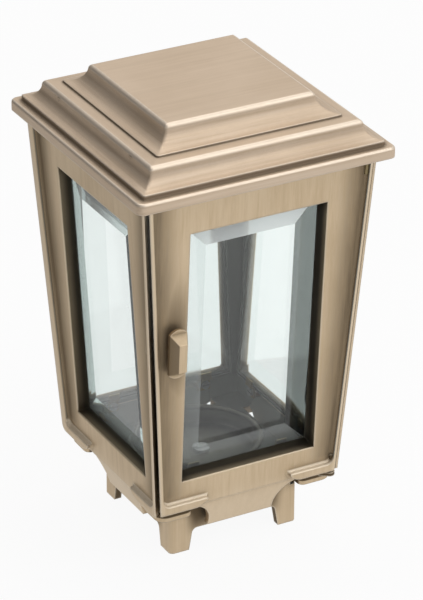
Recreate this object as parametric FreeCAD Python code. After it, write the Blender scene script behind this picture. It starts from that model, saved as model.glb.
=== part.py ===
import FreeCAD, Part
import math
import os

# A grave lantern of cast bronze, in millimetres. The origin is on the ground under the middle of the lantern,
# +Z is up, the door faces -Y and opens on pivots beside its right-hand edge.

# Overall sizes
ROOF_WIDTH = 140.0
ROOF_UNDERSIDE = 211.0
BODY_TOP_WIDTH = 127.4
BODY_FOOT_WIDTH = 104.4
LEDGE_TOP = 33.0

# Roof casting
FLANGE_HEIGHT = 5.5
FLANGE_CORNER_RADIUS = 4.0
FLANGE_EDGE_RADIUS = 1.5
LOWER_QUIRK_HEIGHT = 2.4
UPPER_QUIRK_HEIGHT = 0.9
LOWER_COVE_WIDTH = 131.0
LOWER_TIER_WIDTH = 116.0
LOWER_TIER_HEIGHT = 12.0
LEDGE_RISE = 0.4
UPPER_COVE_WIDTH = 100.5
UPPER_TIER_WIDTH = 82.0
UPPER_TIER_HEIGHT = 11.1
SHOULDER_RADIUS = 2.6
MITRE_EDGE_RADIUS = 1.4
ROOF_MOUTH_WIDTH = 106.0
ROOF_WALL = 4.0
ROOF_WALL_DRAFT = 3.0
ROOF_BOSS_RADIUS = 5.0

# Walls of the body: three fixed panels and the door are cast alike
PLATE_THICKNESS = 2.9
RIM_HEIGHT = 2.6
RIM_WIDTH = 4.5
RIM_COVE_RADIUS = 1.6
RIM_EDGE_RADIUS = 0.9
RIM_FOOT_RADIUS = 4.0
RIM_CORNER_RADIUS = 4.0
RIM_TOP_NOTCH = 2.5
RIM_HOOK_TIP = 23.5
RIM_HOOK_ROOT = 31.5
APRON_BEND = 37.0
APRON_BOTTOM = 16.0
APRON_LEAN_DEG = 20.0
APRON_THICKNESS = 3.5
APRON_BEND_RADIUS = 16.0
APRON_BOTTOM_WIDTH = 36.5
APRON_TOP_WIDTH = 59.0
APRON_SHOULDER = 32.6

# Windows and panes
WINDOW_WIDTH = 75.0
WINDOW_BOTTOM = 49.8
WINDOW_TOP = 190.0
SIDE_REVEAL = 7.0
DOOR_REVEAL = 10.0
WINDOW_RIB_WIDTH = 4.0
PANE_OVERLAP = 1.5
PANE_EDGE_THICKNESS = 2.0
PANE_THICKNESS = 4.0
PANE_BEVEL_WIDTH = 13.0

# Clips that hold the panes
CLIP_SPACING = 50.0
CLIP_WIDTH = 6.0
CLIP_THICKNESS = 0.8
CLIP_BITE = 3.0
CLIP_BASE_LENGTH = 6.2
CLIP_PLAY = 0.4
CLIP_BOSS_RADIUS = 3.4

# Screws
SCREW_PLAY = 0.05
CLIP_SCREW_RADIUS = 1.25
CLIP_SCREW_HEAD_RADIUS = 2.25
CLIP_SCREW_HEAD_HEIGHT = 1.4
CLIP_SCREW_LENGTH = 3.5
ROOF_SCREW_RADIUS = 1.5
ROOF_SCREW_HEAD_RADIUS = 2.75
ROOF_SCREW_HEAD_HEIGHT = 2.0
ROOF_SCREW_LENGTH = 10.0
SLOT_WIDTH = 0.7
SLOT_DEPTH = 0.6

# Lugs at the heads of the fixed panels
LUG_FROM_CORNER = 25.7
LUG_WIDTH = 10.0
LUG_REACH = 10.0
LUG_HEIGHT = 4.0

# Bosses behind the aprons of the fixed panels
APRON_BOSS_SPACING = 18.0
APRON_BOSS_RADIUS = 3.5
APRON_BOSS_HEIGHT = 21.5

# Base casting
LEDGE_WIDTH = 99.0
LEDGE_THICKNESS = 5.0
LEDGE_CORNER_RADIUS = 6.0
LEDGE_END_RADIUS = 3.5
LEDGE_EDGE_RADIUS = 1.0
VENT_LENGTH = 61.0
VENT_INNER_WIDTH = 81.0
FOOT_SPREAD = 72.5
SKIRT_WALL = 4.0
SKIRT_BOTTOM = 12.0
FOOT_GROUND_WIDTH = 10.6
FOOT_HEAD_WIDTH = 12.7
FOOT_SHOULDER_RADIUS = 3.0
FOOT_TOE_RADIUS = 2.5

# Front corners: mitred slots beside the door
DOOR_SLOT_INSET = 2.0
NOSE_SLOT_INSET = 1.5
DOOR_GAP = 1.0
DOOR_HEAD_GAP = 1.0

# Hinge
HINGE_LIP = 1.4
HINGE_LIP_SETBACK = 2.5
HINGE_RUNNING_GAP = 0.6
PIN_RADIUS = 1.25
PIN_PLAY = 0.05
PIN_IN_DOOR = 9.0
PIN_IN_ROOF = 4.5
PIVOT_PLATE_THICKNESS = 2.0
PIVOT_PLATE_WIDTH = 9.0
PIVOT_PLATE_LENGTH = 24.0
PIVOT_EYE_RADIUS = 2.8
PIVOT_PLATE_PLAY = 0.1
PIVOT_WASHER_RADIUS = 2.4
PIVOT_SCREW_PITCH = 9.0

# Turning latch on the door's left-hand stile
LATCH_FROM_MIDDLE = 44.5
LATCH_HEIGHT = 128.0
GRIP_LENGTH = 27.0
GRIP_WIDTH = 9.4
GRIP_FACE_LENGTH = 15.5
GRIP_FACE_WIDTH = 4.4
GRIP_PLINTH = 1.6
GRIP_RISE = 5.4
GRIP_STANDOFF = 0.3
GRIP_ROUNDING = 0.6
COLLAR_RADIUS = 3.4
COLLAR_PLAY = 0.1
SPINDLE_RADIUS = 2.0
SPINDLE_PLAY = 0.05
SPINDLE_SQUARE = 2.8
SPINDLE_IN_GRIP = 4.0
BUSH_RADIUS = 2.9
BUSH_INNER_END = 7.6
TONGUE_THICKNESS = 2.0
TONGUE_WIDTH = 5.0
TONGUE_REACH = 9.5
TONGUE_TAIL = 2.7
TONGUE_PLAY = 0.1
LATCH_WASHER_THICKNESS = 0.6
LATCH_WASHER_RADIUS = 2.5
LATCH_SCREW_RADIUS = 1.0
LATCH_SCREW_HEAD_RADIUS = 1.9
LATCH_SCREW_HEAD_HEIGHT = 1.3
LATCH_SCREW_LENGTH = 4.0
KEEPER_DEPTH = 2.4
KEEPER_ABOVE = 9.0
KEEPER_PLAY = 0.5

# Candle dish and its screw
DISH_RADIUS = 31.0
DISH_WALL = 1.2
DISH_HEIGHT = 9.0
DISH_BEAD_RADIUS = 1.3
DISH_FLOOR_RADIUS = 29.0
DISH_SCREW_RADIUS = 2.0
DISH_SCREW_HEAD_RADIUS = 4.0
DISH_SCREW_HEAD_HEIGHT = 1.8
DISH_NUT_ACROSS_FLATS = 7.0
DISH_NUT_HEIGHT = 3.2
DISH_SCREW_STICKS_OUT = 1.0

# A cut runs past the metal by this much, and edges count as level with a face within this much of it
OVERRUN = 6.0
NEAR = 0.05

V = FreeCAD.Vector
X, Y, Z = V(1, 0, 0), V(0, 1, 0), V(0, 0, 1)
FRONT, RIGHT, REAR, LEFT = 0, 1, 2, 3
BODY_FOOT_HALF = BODY_FOOT_WIDTH / 2
TAPER = (BODY_TOP_WIDTH - BODY_FOOT_WIDTH) / 2 / (ROOF_UNDERSIDE - LEDGE_TOP)
TILT = math.atan(TAPER)
EDGE_LEAN = math.atan(math.sin(TILT))
WALL_DEPTH = PLATE_THICKNESS + RIM_HEIGHT
WALL_LENGTH = (ROOF_UNDERSIDE - LEDGE_TOP) / math.cos(TILT)
ROOF_FLANGE_TOP = ROOF_UNDERSIDE + FLANGE_HEIGHT
DOOR_BOTTOM = LEDGE_TOP + DOOR_GAP
DOOR_TOP = ROOF_UNDERSIDE - DOOR_HEAD_GAP
LUG_SPACING = BODY_TOP_WIDTH - 2 * LUG_FROM_CORNER


def block(x_range, y_range, z_range):
    """A box between two values on each axis."""
    size = [high - low for low, high in (x_range, y_range, z_range)]
    return Part.makeBox(size[0], size[1], size[2], V(x_range[0], y_range[0], z_range[0]))


def rod(radius, start, end):
    """A round bar between two points."""
    return Part.makeCylinder(radius, (end - start).Length, start, end - start)


def prism(points, depth):
    """A polygon pushed along a vector."""
    return Part.Face(Part.makePolygon(points + points[:1])).extrude(depth)


def outline_prism(edges, depth):
    """A closed outline of lines and arcs pushed along a vector."""
    return Part.Face(Part.Wire(edges)).extrude(depth)


def line(start, end):
    """One straight edge."""
    return Part.LineSegment(start, end).toShape()


def arc(start, middle, end):
    """One round edge through three points."""
    return Part.Arc(start, middle, end).toShape()


def flat_faced(lower, upper):
    """A solid with flat faces between two outlines that have as many corners."""
    faces = [Part.Face(Part.makePolygon(lower + lower[:1])), Part.Face(Part.makePolygon(upper + upper[:1]))]
    for index in range(len(lower)):
        after = (index + 1) % len(lower)
        points = [lower[index], lower[after], upper[after], upper[index]]
        faces.append(Part.Face(Part.makePolygon(points + points[:1])))
    skin = Part.makeCompound(faces)
    skin.sewShape()
    solid = Part.Solid(skin.Shells[0])
    if solid.Volume < 0:
        solid.reverse()
    return solid


def fused(shapes):
    """One clean solid made of shapes that meet."""
    return shapes[0].multiFuse(shapes[1:]).removeSplitter()


def group(shapes):
    """Separate solids kept in one node."""
    return Part.makeCompound([solid for shape in shapes for solid in shape.Solids])


def turned(shape, turns):
    """A shape turned about the lantern's middle by quarter turns."""
    copy = shape.copy()
    copy.rotate(V(0, 0, 0), Z, 90 * turns)
    return copy


def face_placement():
    """Where the front face's own frame lies: u right, v up the face and w outwards."""
    return FreeCAD.Placement(V(0, -BODY_FOOT_HALF, LEDGE_TOP), FreeCAD.Rotation(X, 90 + math.degrees(TILT)))


def on_face(shape, turns):
    """A shape drawn flat in a face's own frame, laid on one sloping face of the body."""
    copy = shape.copy()
    copy.Placement = face_placement().multiply(copy.Placement)
    return turned(copy, turns)


def face_point(u, v, w):
    """Where a point of the front face's own frame lies in the lantern."""
    return face_placement().multVec(V(u, v, w))


def face_height(z):
    """Distance up the sloping face at a height above the ground."""
    return (z - LEDGE_TOP) / math.cos(TILT)


def half_width(z):
    """Half the body's width over its rims at a height."""
    return BODY_FOOT_HALF + (z - LEDGE_TOP) * TAPER


def inset(depth):
    """Level distance in from the face for a depth square to it."""
    return depth / math.cos(TILT)


def hinge_point(z):
    """The point of the door's hinge axis at a height."""
    depth = -WALL_DEPTH / 2
    across = DOOR_SLOT_INSET + WALL_DEPTH / 2
    v = (z - LEDGE_TOP + depth * math.sin(TILT)) / math.cos(TILT)
    along = (v - across * math.sin(EDGE_LEAN)) / math.cos(EDGE_LEAN)
    u = BODY_FOOT_HALF + along * math.sin(EDGE_LEAN) - across * math.cos(EDGE_LEAN)
    return face_point(u, v, depth)


def beside_right_edge(across_range, depth_range, turns=FRONT):
    """A long bar beside a face's right-hand edge.

    The range across is measured inwards from the edge, the range of depth outwards from the face.
    """
    bar = block((-across_range[1], -across_range[0]), (-WALL_LENGTH / 2, WALL_LENGTH * 3 / 2), depth_range)
    bar.rotate(V(0, 0, 0), Z, -math.degrees(EDGE_LEAN))
    bar.translate(V(BODY_FOOT_HALF, 0, 0))
    return on_face(bar, turns)


def wall(z_range, depth_range, left_inset=0, right_inset=0):
    """The front wall between two heights and two depths, mitred at both ends."""
    outlines = []
    for z in z_range:
        outer = half_width(z) - inset(depth_range[0])
        inner = half_width(z) - inset(depth_range[1])
        outlines.append([V(left_inset - outer, -outer, z), V(outer - right_inset, -outer, z),
                         V(inner - right_inset, -inner, z), V(left_inset - inner, -inner, z)])
    return flat_faced(outlines[0], outlines[1])


def foot_rounding(corner, radius):
    """Where a rounding leaves the level foot of a face, its middle, and where it meets the leaning edge."""
    turn = math.pi / 2 - EDGE_LEAN
    tangent = radius * math.tan(turn / 2)
    centre = corner + V(-tangent, radius, 0)
    middle = centre + (corner - centre).normalize() * radius
    return corner - X * tangent, middle, corner + V(math.sin(EDGE_LEAN), math.cos(EDGE_LEAN), 0) * tangent


def mirrored(edges):
    """Edges together with their mirror images left of the middle."""
    return edges + [edge.mirror(V(0, 0, 0), X) for edge in edges]


def closed_face(edges):
    """A flat face inside edges given in any order."""
    return Part.Face(Part.Wire(Part.__sortEdges__(edges)))


def foot_corner_cutter(bottom):
    """What is cut off the lower corners of a wall, drawn flat."""
    low = face_height(bottom)
    corner = V(BODY_FOOT_HALF + low * math.tan(EDGE_LEAN), low, 0)
    start, middle, end = foot_rounding(corner, RIM_CORNER_RADIUS)
    outside = V(corner.x + OVERRUN, end.y, 0)
    below = V(corner.x + OVERRUN, low - OVERRUN, 0)
    inside = V(start.x, low - OVERRUN, 0)
    edges = [arc(start, middle, end), line(end, outside), line(outside, below), line(below, inside),
             line(inside, start)]
    depth = Z * (WALL_DEPTH + 2 * OVERRUN)
    right = closed_face(edges).extrude(depth).translate(V(0, 0, -WALL_DEPTH - OVERRUN))
    return group([right, right.mirror(V(0, 0, 0), X)])


def recess_side(low, high, extra):
    """The right-hand border of a face's recess, drawn flat, with a rim wider by an extra."""
    shelf = low + RIM_WIDTH
    hook_foot = low - RIM_HEIGHT * math.tan(TILT)
    rim_run = RIM_WIDTH / math.cos(EDGE_LEAN) + extra

    def inner_edge(v):
        return V(BODY_FOOT_HALF + v * math.tan(EDGE_LEAN) - rim_run, v, 0)

    start, middle, end = foot_rounding(inner_edge(shelf), RIM_FOOT_RADIUS)
    hook = Part.Ellipse(V(RIM_HOOK_ROOT, shelf, 0), RIM_HOOK_ROOT - RIM_HOOK_TIP, shelf - hook_foot)
    border = [line(inner_edge(high), end), arc(end, middle, start), line(start, V(RIM_HOOK_TIP, shelf, 0)),
              Part.ArcOfEllipse(hook, math.pi, math.pi * 3 / 2).toShape()]
    border.append(line(V(RIM_HOOK_ROOT, hook_foot, 0), V(RIM_HOOK_ROOT, low - OVERRUN, 0)))
    return border, inner_edge(high)


def recess_cutter(bottom, left_extra=0):
    """What is cut away between the raised rims of a face, drawn flat."""
    low = face_height(bottom)
    high = face_height(ROOF_UNDERSIDE + OVERRUN)
    under = low - OVERRUN
    right, right_head = recess_side(low, high, 0)
    left, left_head = recess_side(low, high, left_extra)
    edges = right + [edge.mirror(V(0, 0, 0), X) for edge in left]
    edges.append(line(right_head, V(-left_head.x, high, 0)))
    edges.append(line(V(RIM_HOOK_ROOT, under, 0), V(-RIM_HOOK_ROOT, under, 0)))
    cutter = closed_face(edges).extrude(Z * (RIM_HEIGHT + OVERRUN)).translate(Z * -RIM_HEIGHT)
    foot = [edge for edge in cutter.Edges if edge.BoundBox.ZMax < -RIM_HEIGHT / 2
            and low < edge.CenterOfMass.y < high - OVERRUN / 2]
    return cutter.makeFillet(RIM_COVE_RADIUS, foot)


def apron():
    """The leaning tongue below the front wall."""
    lean = math.radians(APRON_LEAN_DEG)
    recess_y = -(half_width(APRON_BEND) - inset(RIM_HEIGHT))
    bend = V(0, recess_y, APRON_BEND)
    up = V(0, -math.sin(TILT), math.cos(TILT))
    down = V(0, math.sin(lean), -math.cos(lean))
    reach = APRON_BEND_RADIUS * math.tan((lean - TILT) / 2)
    upper = bend + up * reach
    lower = bend + down * reach
    toward_middle = (up + down).normalize()
    bulge = APRON_BEND_RADIUS / math.cos((lean - TILT) / 2) - APRON_BEND_RADIUS
    middle = bend + toward_middle * bulge
    foot = bend + down * ((APRON_BEND - APRON_BOTTOM + OVERRUN) / math.cos(lean))
    head = upper + up * RIM_WIDTH
    inward_up = V(0, math.cos(TILT), math.sin(TILT)) * APRON_THICKNESS
    inward_down = V(0, math.cos(lean), math.sin(lean)) * APRON_THICKNESS
    inner_middle = middle + toward_middle * APRON_THICKNESS
    half = APRON_TOP_WIDTH / 2 + RIM_WIDTH
    edges = [line(head, upper), arc(upper, middle, lower), line(lower, foot), line(foot, foot + inward_down),
             line(foot + inward_down, lower + inward_down),
             arc(lower + inward_down, inner_middle, upper + inward_up),
             line(upper + inward_up, head + inward_up), line(head + inward_up, head)]
    sheet = outline_prism(edges, X * 2 * half).translate(X * -half)
    bottom, top = APRON_BOTTOM_WIDTH / 2, APRON_TOP_WIDTH / 2
    run, rise = top - bottom, APRON_SHOULDER - APRON_BOTTOM
    half_turn = math.sqrt(0.5)
    ceiling = upper.z + RIM_WIDTH * half_turn
    y = -BODY_TOP_WIDTH
    side = arc(V(bottom, y, APRON_BOTTOM), V(top - run * half_turn, y, APRON_BOTTOM + rise * half_turn),
               V(top, y, APRON_SHOULDER))
    edges = mirrored([side, line(V(top, y, APRON_SHOULDER), V(top, y, ceiling))])
    edges.append(line(V(-bottom, y, APRON_BOTTOM), V(bottom, y, APRON_BOTTOM)))
    edges.append(line(V(-top, y, ceiling), V(top, y, ceiling)))
    front = closed_face(edges).extrude(Y * BODY_TOP_WIDTH)
    return sheet.common(front)


def window_frame(reveal):
    """The rib round a window behind the plate, with the bosses for its clips, drawn flat."""
    back = -(RIM_HEIGHT + reveal)
    front = -WALL_DEPTH + RIM_HEIGHT
    half = WINDOW_WIDTH / 2 + WINDOW_RIB_WIDTH
    low = face_height(WINDOW_BOTTOM) - WINDOW_RIB_WIDTH
    high = face_height(WINDOW_TOP) + WINDOW_RIB_WIDTH
    pieces = [block((-half, half), (low, high), (back, front))]
    for u, v, _ in clip_places():
        pieces.append(rod(CLIP_BOSS_RADIUS, V(u, v, back), V(u, v, front)))
    return fused(pieces)


def window_hole():
    """The window cut right through a wall, drawn flat."""
    half = WINDOW_WIDTH / 2
    heights = (face_height(WINDOW_BOTTOM), face_height(WINDOW_TOP))
    return block((-half, half), heights, (-WALL_DEPTH - DOOR_REVEAL - OVERRUN, OVERRUN))


def pane_edges():
    """The lower and upper edge of a pane, measured up the face."""
    return face_height(WINDOW_BOTTOM) - PANE_OVERLAP, face_height(WINDOW_TOP) + PANE_OVERLAP


def clip_places():
    """Screw places of the four clips of a window, with the way from the pane to the screw."""
    low, high = pane_edges()
    away = CLIP_PLAY + CLIP_THICKNESS + CLIP_BASE_LENGTH / 2
    places = []
    for u in (-CLIP_SPACING / 2, CLIP_SPACING / 2):
        places += [(u, low - away, -1), (u, high + away, 1)]
    return places


def pane(reveal):
    """A bevelled pane behind a window, drawn flat.

    Its border lies on the rib and its middle stands forward.
    """
    seat = -(RIM_HEIGHT + reveal)
    half = WINDOW_WIDTH / 2 + PANE_OVERLAP
    low, high = pane_edges()
    sheet = block((-half, half), (low, high), (seat - PANE_EDGE_THICKNESS, seat))
    outlines = []
    for margin, level in ((PANE_OVERLAP, seat),
                          (PANE_OVERLAP + PANE_BEVEL_WIDTH, seat + PANE_THICKNESS - PANE_EDGE_THICKNESS)):
        side, bottom, top = half - margin, low + margin, high - margin
        outlines.append([V(-side, bottom, level), V(side, bottom, level),
                         V(side, top, level), V(-side, top, level)])
    return fused([sheet, flat_faced(outlines[0], outlines[1])])


def clips(reveal):
    """The four stepped clips of a window, drawn flat."""
    seat = -(RIM_HEIGHT + reveal)
    over = seat - PANE_EDGE_THICKNESS
    low, high = pane_edges()
    shapes = []
    for u, v, way in clip_places():
        edge = high if way > 0 else low
        wall_at = edge + way * CLIP_PLAY
        wall_end = wall_at + way * CLIP_THICKNESS
        end = wall_end + way * CLIP_BASE_LENGTH
        tip = edge - way * CLIP_BITE
        side = u - CLIP_WIDTH / 2
        profile = [V(side, end, seat), V(side, wall_at, seat), V(side, wall_at, over), V(side, tip, over),
                   V(side, tip, over - CLIP_THICKNESS), V(side, wall_end, over - CLIP_THICKNESS),
                   V(side, wall_end, seat - CLIP_THICKNESS), V(side, end, seat - CLIP_THICKNESS)]
        strip = prism(profile, X * CLIP_WIDTH)
        hole = rod(CLIP_SCREW_RADIUS + SCREW_PLAY, V(u, v, seat - OVERRUN), V(u, v, seat + OVERRUN))
        shapes.append(strip.cut(hole))
    return shapes


def screw(radius, length, head_radius, head_height, seat, way):
    """A slotted cheese-head screw: seat is the middle of the head's underside, way points along the shank."""
    shank = rod(radius, seat - way * head_height / 2, seat + way * length)
    head = rod(head_radius, seat - way * head_height, seat)
    slot = block((-head_radius - SLOT_WIDTH, head_radius + SLOT_WIDTH), (-SLOT_WIDTH / 2, SLOT_WIDTH / 2),
                 (0, head_height))
    slot.Placement = FreeCAD.Placement(seat - way * (2 * head_height - SLOT_DEPTH), FreeCAD.Rotation(Z, way))
    return fused([shank, head]).cut(slot)


def clip_screws(reveal):
    """The four screws of a window's clips, drawn flat."""
    level = -(RIM_HEIGHT + reveal) - CLIP_THICKNESS
    return [screw(CLIP_SCREW_RADIUS, CLIP_SCREW_LENGTH, CLIP_SCREW_HEAD_RADIUS, CLIP_SCREW_HEAD_HEIGHT,
                  V(u, v, level), Z) for u, v, _ in clip_places()]


def clip_screw_holes(reveal):
    """The tapped holes in the bosses, drawn flat."""
    back = -(RIM_HEIGHT + reveal)
    depth = CLIP_SCREW_LENGTH - CLIP_THICKNESS + SCREW_PLAY
    return [rod(CLIP_SCREW_RADIUS + SCREW_PLAY, V(u, v, back - OVERRUN), V(u, v, back + depth))
            for u, v, _ in clip_places()]


def rounded_rims(slab, bottom):
    """Rounds the inner upper edges of the raised rims of the front wall."""
    low = face_height(bottom)
    flat = face_placement().inverse()
    edges = []
    for edge in slab.Edges:
        middle = flat.multVec(edge.valueAt((edge.FirstParameter + edge.LastParameter) / 2))
        margin = BODY_FOOT_HALF + middle.y * math.tan(EDGE_LEAN) - abs(middle.x)
        on_top = abs(middle.z) < NEAR
        head = face_height(ROOF_UNDERSIDE - RIM_TOP_NOTCH)
        within = low + RIM_WIDTH - NEAR < middle.y < head - NEAR
        if on_top and within and margin > RIM_WIDTH / 2:
            edges.append(edge)
    return slab.makeFillet(RIM_EDGE_RADIUS, edges)


def pivot_holes():
    """The door's two blind holes for its pivot pins."""
    radius = PIN_RADIUS + PIN_PLAY
    bore_depth = PIN_IN_DOOR + PIN_PLAY
    return [rod(radius, hinge_point(LEDGE_TOP - OVERRUN), hinge_point(DOOR_BOTTOM + bore_depth)),
            rod(radius, hinge_point(DOOR_TOP - bore_depth), hinge_point(ROOF_UNDERSIDE + OVERRUN))]


def face_plate(bottom, top, left_inset, right_inset, reveal, left_rim_extra=0, heel=False):
    """A body wall in the front place: plate, raised rims, apron and window, with a round heel if hinged."""
    heights = (face_height(ROOF_UNDERSIDE - RIM_TOP_NOTCH), face_height(ROOF_UNDERSIDE) + OVERRUN)
    notch = block((-BODY_TOP_WIDTH, BODY_TOP_WIDTH), heights, (-RIM_HEIGHT, OVERRUN))
    cutters = [on_face(recess_cutter(bottom, left_rim_extra), FRONT), on_face(notch, FRONT)]
    slab = wall((bottom, top), (0, WALL_DEPTH), left_inset, right_inset)
    slab = rounded_rims(slab.cut(on_face(foot_corner_cutter(bottom), FRONT)).cut(cutters), bottom)
    pieces = [slab]
    if heel:
        beside = beside_right_edge((-OVERRUN, DOOR_SLOT_INSET + WALL_DEPTH / 2),
                                   (-WALL_DEPTH - OVERRUN, OVERRUN))
        reach = (-BODY_TOP_WIDTH, BODY_TOP_WIDTH)
        round_heel = rod(WALL_DEPTH / 2, hinge_point(bottom - OVERRUN), hinge_point(top + OVERRUN))
        round_heel = round_heel.common(block(reach, reach, (bottom, top)))
        round_heel = round_heel.cut([on_face(foot_corner_cutter(bottom), FRONT)] + cutters)
        pieces = [slab.cut([beside] + pivot_holes()), round_heel.cut(pivot_holes())]
    plate = fused(pieces + [apron(), on_face(window_frame(reveal), FRONT)])
    plate = plate.cut(on_face(window_hole(), FRONT))
    return plate.cut(on_face(group(clip_screw_holes(reveal)), FRONT))


def fixed_panel(left_inset=0, right_inset=0, left_rim_extra=0):
    """A fixed wall in the front place, with its lugs under the roof and its bosses against the skirt."""
    panel = face_plate(LEDGE_TOP, ROOF_UNDERSIDE, left_inset, right_inset, SIDE_REVEAL, left_rim_extra)
    back = half_width(ROOF_UNDERSIDE) - inset(WALL_DEPTH)
    pieces = [panel]
    for u in (-LUG_SPACING / 2, LUG_SPACING / 2):
        pieces.append(block((u - LUG_WIDTH / 2, u + LUG_WIDTH / 2),
                            (-back - inset(RIM_HEIGHT), -back + LUG_REACH),
                            (ROOF_UNDERSIDE - LUG_HEIGHT, ROOF_UNDERSIDE)))
    for u, height in apron_boss_places():
        pieces.append(rod(APRON_BOSS_RADIUS, V(u, -FOOT_SPREAD / 2, height),
                          V(u, apron_middle_y(height), height)))
    panel = fused(pieces)
    for u, y in lug_screw_places():
        panel = panel.cut(rod(ROOF_SCREW_RADIUS + SCREW_PLAY, V(u, y, ROOF_UNDERSIDE - LUG_HEIGHT - OVERRUN),
                              V(u, y, ROOF_UNDERSIDE + OVERRUN)))
    for u, height in apron_boss_places():
        tip = -FOOT_SPREAD / 2 - base_screw_bite() - SCREW_PLAY
        panel = panel.cut(rod(ROOF_SCREW_RADIUS + SCREW_PLAY, V(u, -FOOT_SPREAD / 2 + OVERRUN, height),
                              V(u, tip, height)))
    return panel


def apron_middle_y(height):
    """The middle of the leaning apron's thickness at a height."""
    lean = math.radians(APRON_LEAN_DEG)
    outer = half_width(APRON_BEND) - inset(RIM_HEIGHT) - (APRON_BEND - height) * math.tan(lean)
    return -outer + APRON_THICKNESS / math.cos(lean) / 2


def apron_boss_places():
    """Places of the bosses behind an apron: sideways and height."""
    return [(u, APRON_BOSS_HEIGHT) for u in (-APRON_BOSS_SPACING / 2, APRON_BOSS_SPACING / 2)]


def base_screw_bite():
    """How far a base screw reaches into an apron's boss."""
    return -FOOT_SPREAD / 2 - apron_middle_y(APRON_BOSS_HEIGHT)


def lug_screw_places():
    """Places of the roof screws of the front wall: sideways and depth."""
    middle = half_width(ROOF_UNDERSIDE) - inset(WALL_DEPTH) - LUG_REACH / 2
    return [(u, -middle) for u in (-LUG_SPACING / 2, LUG_SPACING / 2)]


def tier_profile(start_z, quirk, cove_width, tier_width, height):
    """Half outline of one moulded tier as edges, from its toe to the middle of its top."""
    toe, crown = cove_width / 2, tier_width / 2
    top = start_z + height
    shoulder = V(crown, 0, top - SHOULDER_RADIUS)
    half_turn = math.sqrt(0.5)
    start = V(toe, 0, start_z + quirk)
    run, rise = toe - crown, shoulder.z - start.z
    cove_radius = (run * run + rise * rise) / (2 * rise)
    half_sweep = math.asin(run / cove_radius) / 2
    cove_middle = start + V(-math.sin(half_sweep), 0, 1 - math.cos(half_sweep)) * cove_radius
    shoulder_middle = V(crown - SHOULDER_RADIUS * (1 - half_turn), 0, top - SHOULDER_RADIUS * (1 - half_turn))
    end = V(crown - SHOULDER_RADIUS, 0, top)
    edges = [line(V(toe, 0, start_z - quirk), start), arc(start, cove_middle, shoulder),
             arc(shoulder, shoulder_middle, end)]
    return edges, end


def tier(start_z, quirk, cove_width, tier_width, height):
    """One moulded tier of the roof with mitred corners."""
    edges, end = tier_profile(start_z, quirk, cove_width, tier_width, height)
    toe = edges[0].Vertexes[0].Point
    closing = [line(end, V(-end.x, 0, end.z)), line(toe, V(-toe.x, 0, toe.z))]
    along = closed_face(mirrored(edges) + closing).extrude(Y * 2 * cove_width).translate(Y * -cove_width)
    solid = along.common(turned(along, RIGHT))
    corners = []
    for edge in solid.Edges:
        middle = edge.CenterOfMass
        low, high = edge.BoundBox.ZMin, edge.BoundBox.ZMax
        if high - low > quirk / 2 and abs(abs(middle.x) - abs(middle.y)) < NEAR:
            corners.append(edge)
    return solid.makeFillet(MITRE_EDGE_RADIUS, corners)


def pyramid(low_half, high_half, z_range):
    """A square block whose width changes with height."""
    outlines = [[V(-half, -half, z), V(half, -half, z), V(half, half, z), V(-half, half, z)]
                for half, z in zip((low_half, high_half), z_range)]
    return flat_faced(outlines[0], outlines[1])


def roof():
    """The stepped roof casting, hollow from below."""
    half = ROOF_WIDTH / 2
    flange = block((-half, half), (-half, half), (ROOF_UNDERSIDE, ROOF_FLANGE_TOP))
    flange = flange.makeFillet(FLANGE_CORNER_RADIUS, [edge for edge in flange.Edges
                                                      if abs(edge.BoundBox.ZLength - FLANGE_HEIGHT) < NEAR])
    flange = flange.makeFillet(FLANGE_EDGE_RADIUS, [edge for edge in flange.Edges
                                                    if edge.BoundBox.ZMin > ROOF_FLANGE_TOP - NEAR])
    lower_top = ROOF_FLANGE_TOP + LOWER_TIER_HEIGHT
    ledge_top = lower_top + LEDGE_RISE
    lower = tier(ROOF_FLANGE_TOP, LOWER_QUIRK_HEIGHT, LOWER_COVE_WIDTH, LOWER_TIER_WIDTH, LOWER_TIER_HEIGHT)
    ledge = pyramid(LOWER_TIER_WIDTH / 2 - SHOULDER_RADIUS, UPPER_COVE_WIDTH / 2, (lower_top, ledge_top))
    upper = tier(ledge_top, UPPER_QUIRK_HEIGHT, UPPER_COVE_WIDTH, UPPER_TIER_WIDTH, UPPER_TIER_HEIGHT)
    solid = fused([flange, lower, ledge, upper])
    mouth = ROOF_MOUTH_WIDTH / 2
    shelf = lower_top - ROOF_WALL
    crown = ledge_top + UPPER_TIER_HEIGHT - ROOF_WALL
    inner = UPPER_TIER_WIDTH / 2 - ROOF_WALL
    hollow = fused([pyramid(mouth, mouth - ROOF_WALL_DRAFT, (ROOF_UNDERSIDE - OVERRUN, shelf)),
                    pyramid(inner + ROOF_WALL_DRAFT, inner, (shelf - ROOF_WALL, crown))])
    solid = solid.cut(hollow)
    bosses = []
    for turns in (RIGHT, REAR, LEFT):
        for u, y in lug_screw_places():
            post = rod(ROOF_BOSS_RADIUS, V(u, y, ROOF_UNDERSIDE), V(u, y, shelf + ROOF_WALL / 2))
            bosses.append(turned(post, turns))
    solid = fused([solid] + bosses)
    for turns in (RIGHT, REAR, LEFT):
        for u, y in lug_screw_places():
            depth = ROOF_SCREW_LENGTH - LUG_HEIGHT + SCREW_PLAY
            hole = rod(ROOF_SCREW_RADIUS + SCREW_PLAY, V(u, y, ROOF_UNDERSIDE - OVERRUN),
                       V(u, y, ROOF_UNDERSIDE + depth))
            solid = solid.cut(turned(hole, turns))
    top = hinge_point(ROOF_UNDERSIDE + PIN_IN_ROOF + PIN_RADIUS)
    return solid.cut(rod(PIN_RADIUS + PIN_PLAY, hinge_point(ROOF_UNDERSIDE - OVERRUN), top))


def spread(point):
    """How far a point is from the middle along both sides of the plan together."""
    return abs(point.x) + abs(point.y)


def farthest(point):
    """How far a point is from the middle along the side on which it is farther."""
    return max(abs(point.x), abs(point.y))


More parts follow.
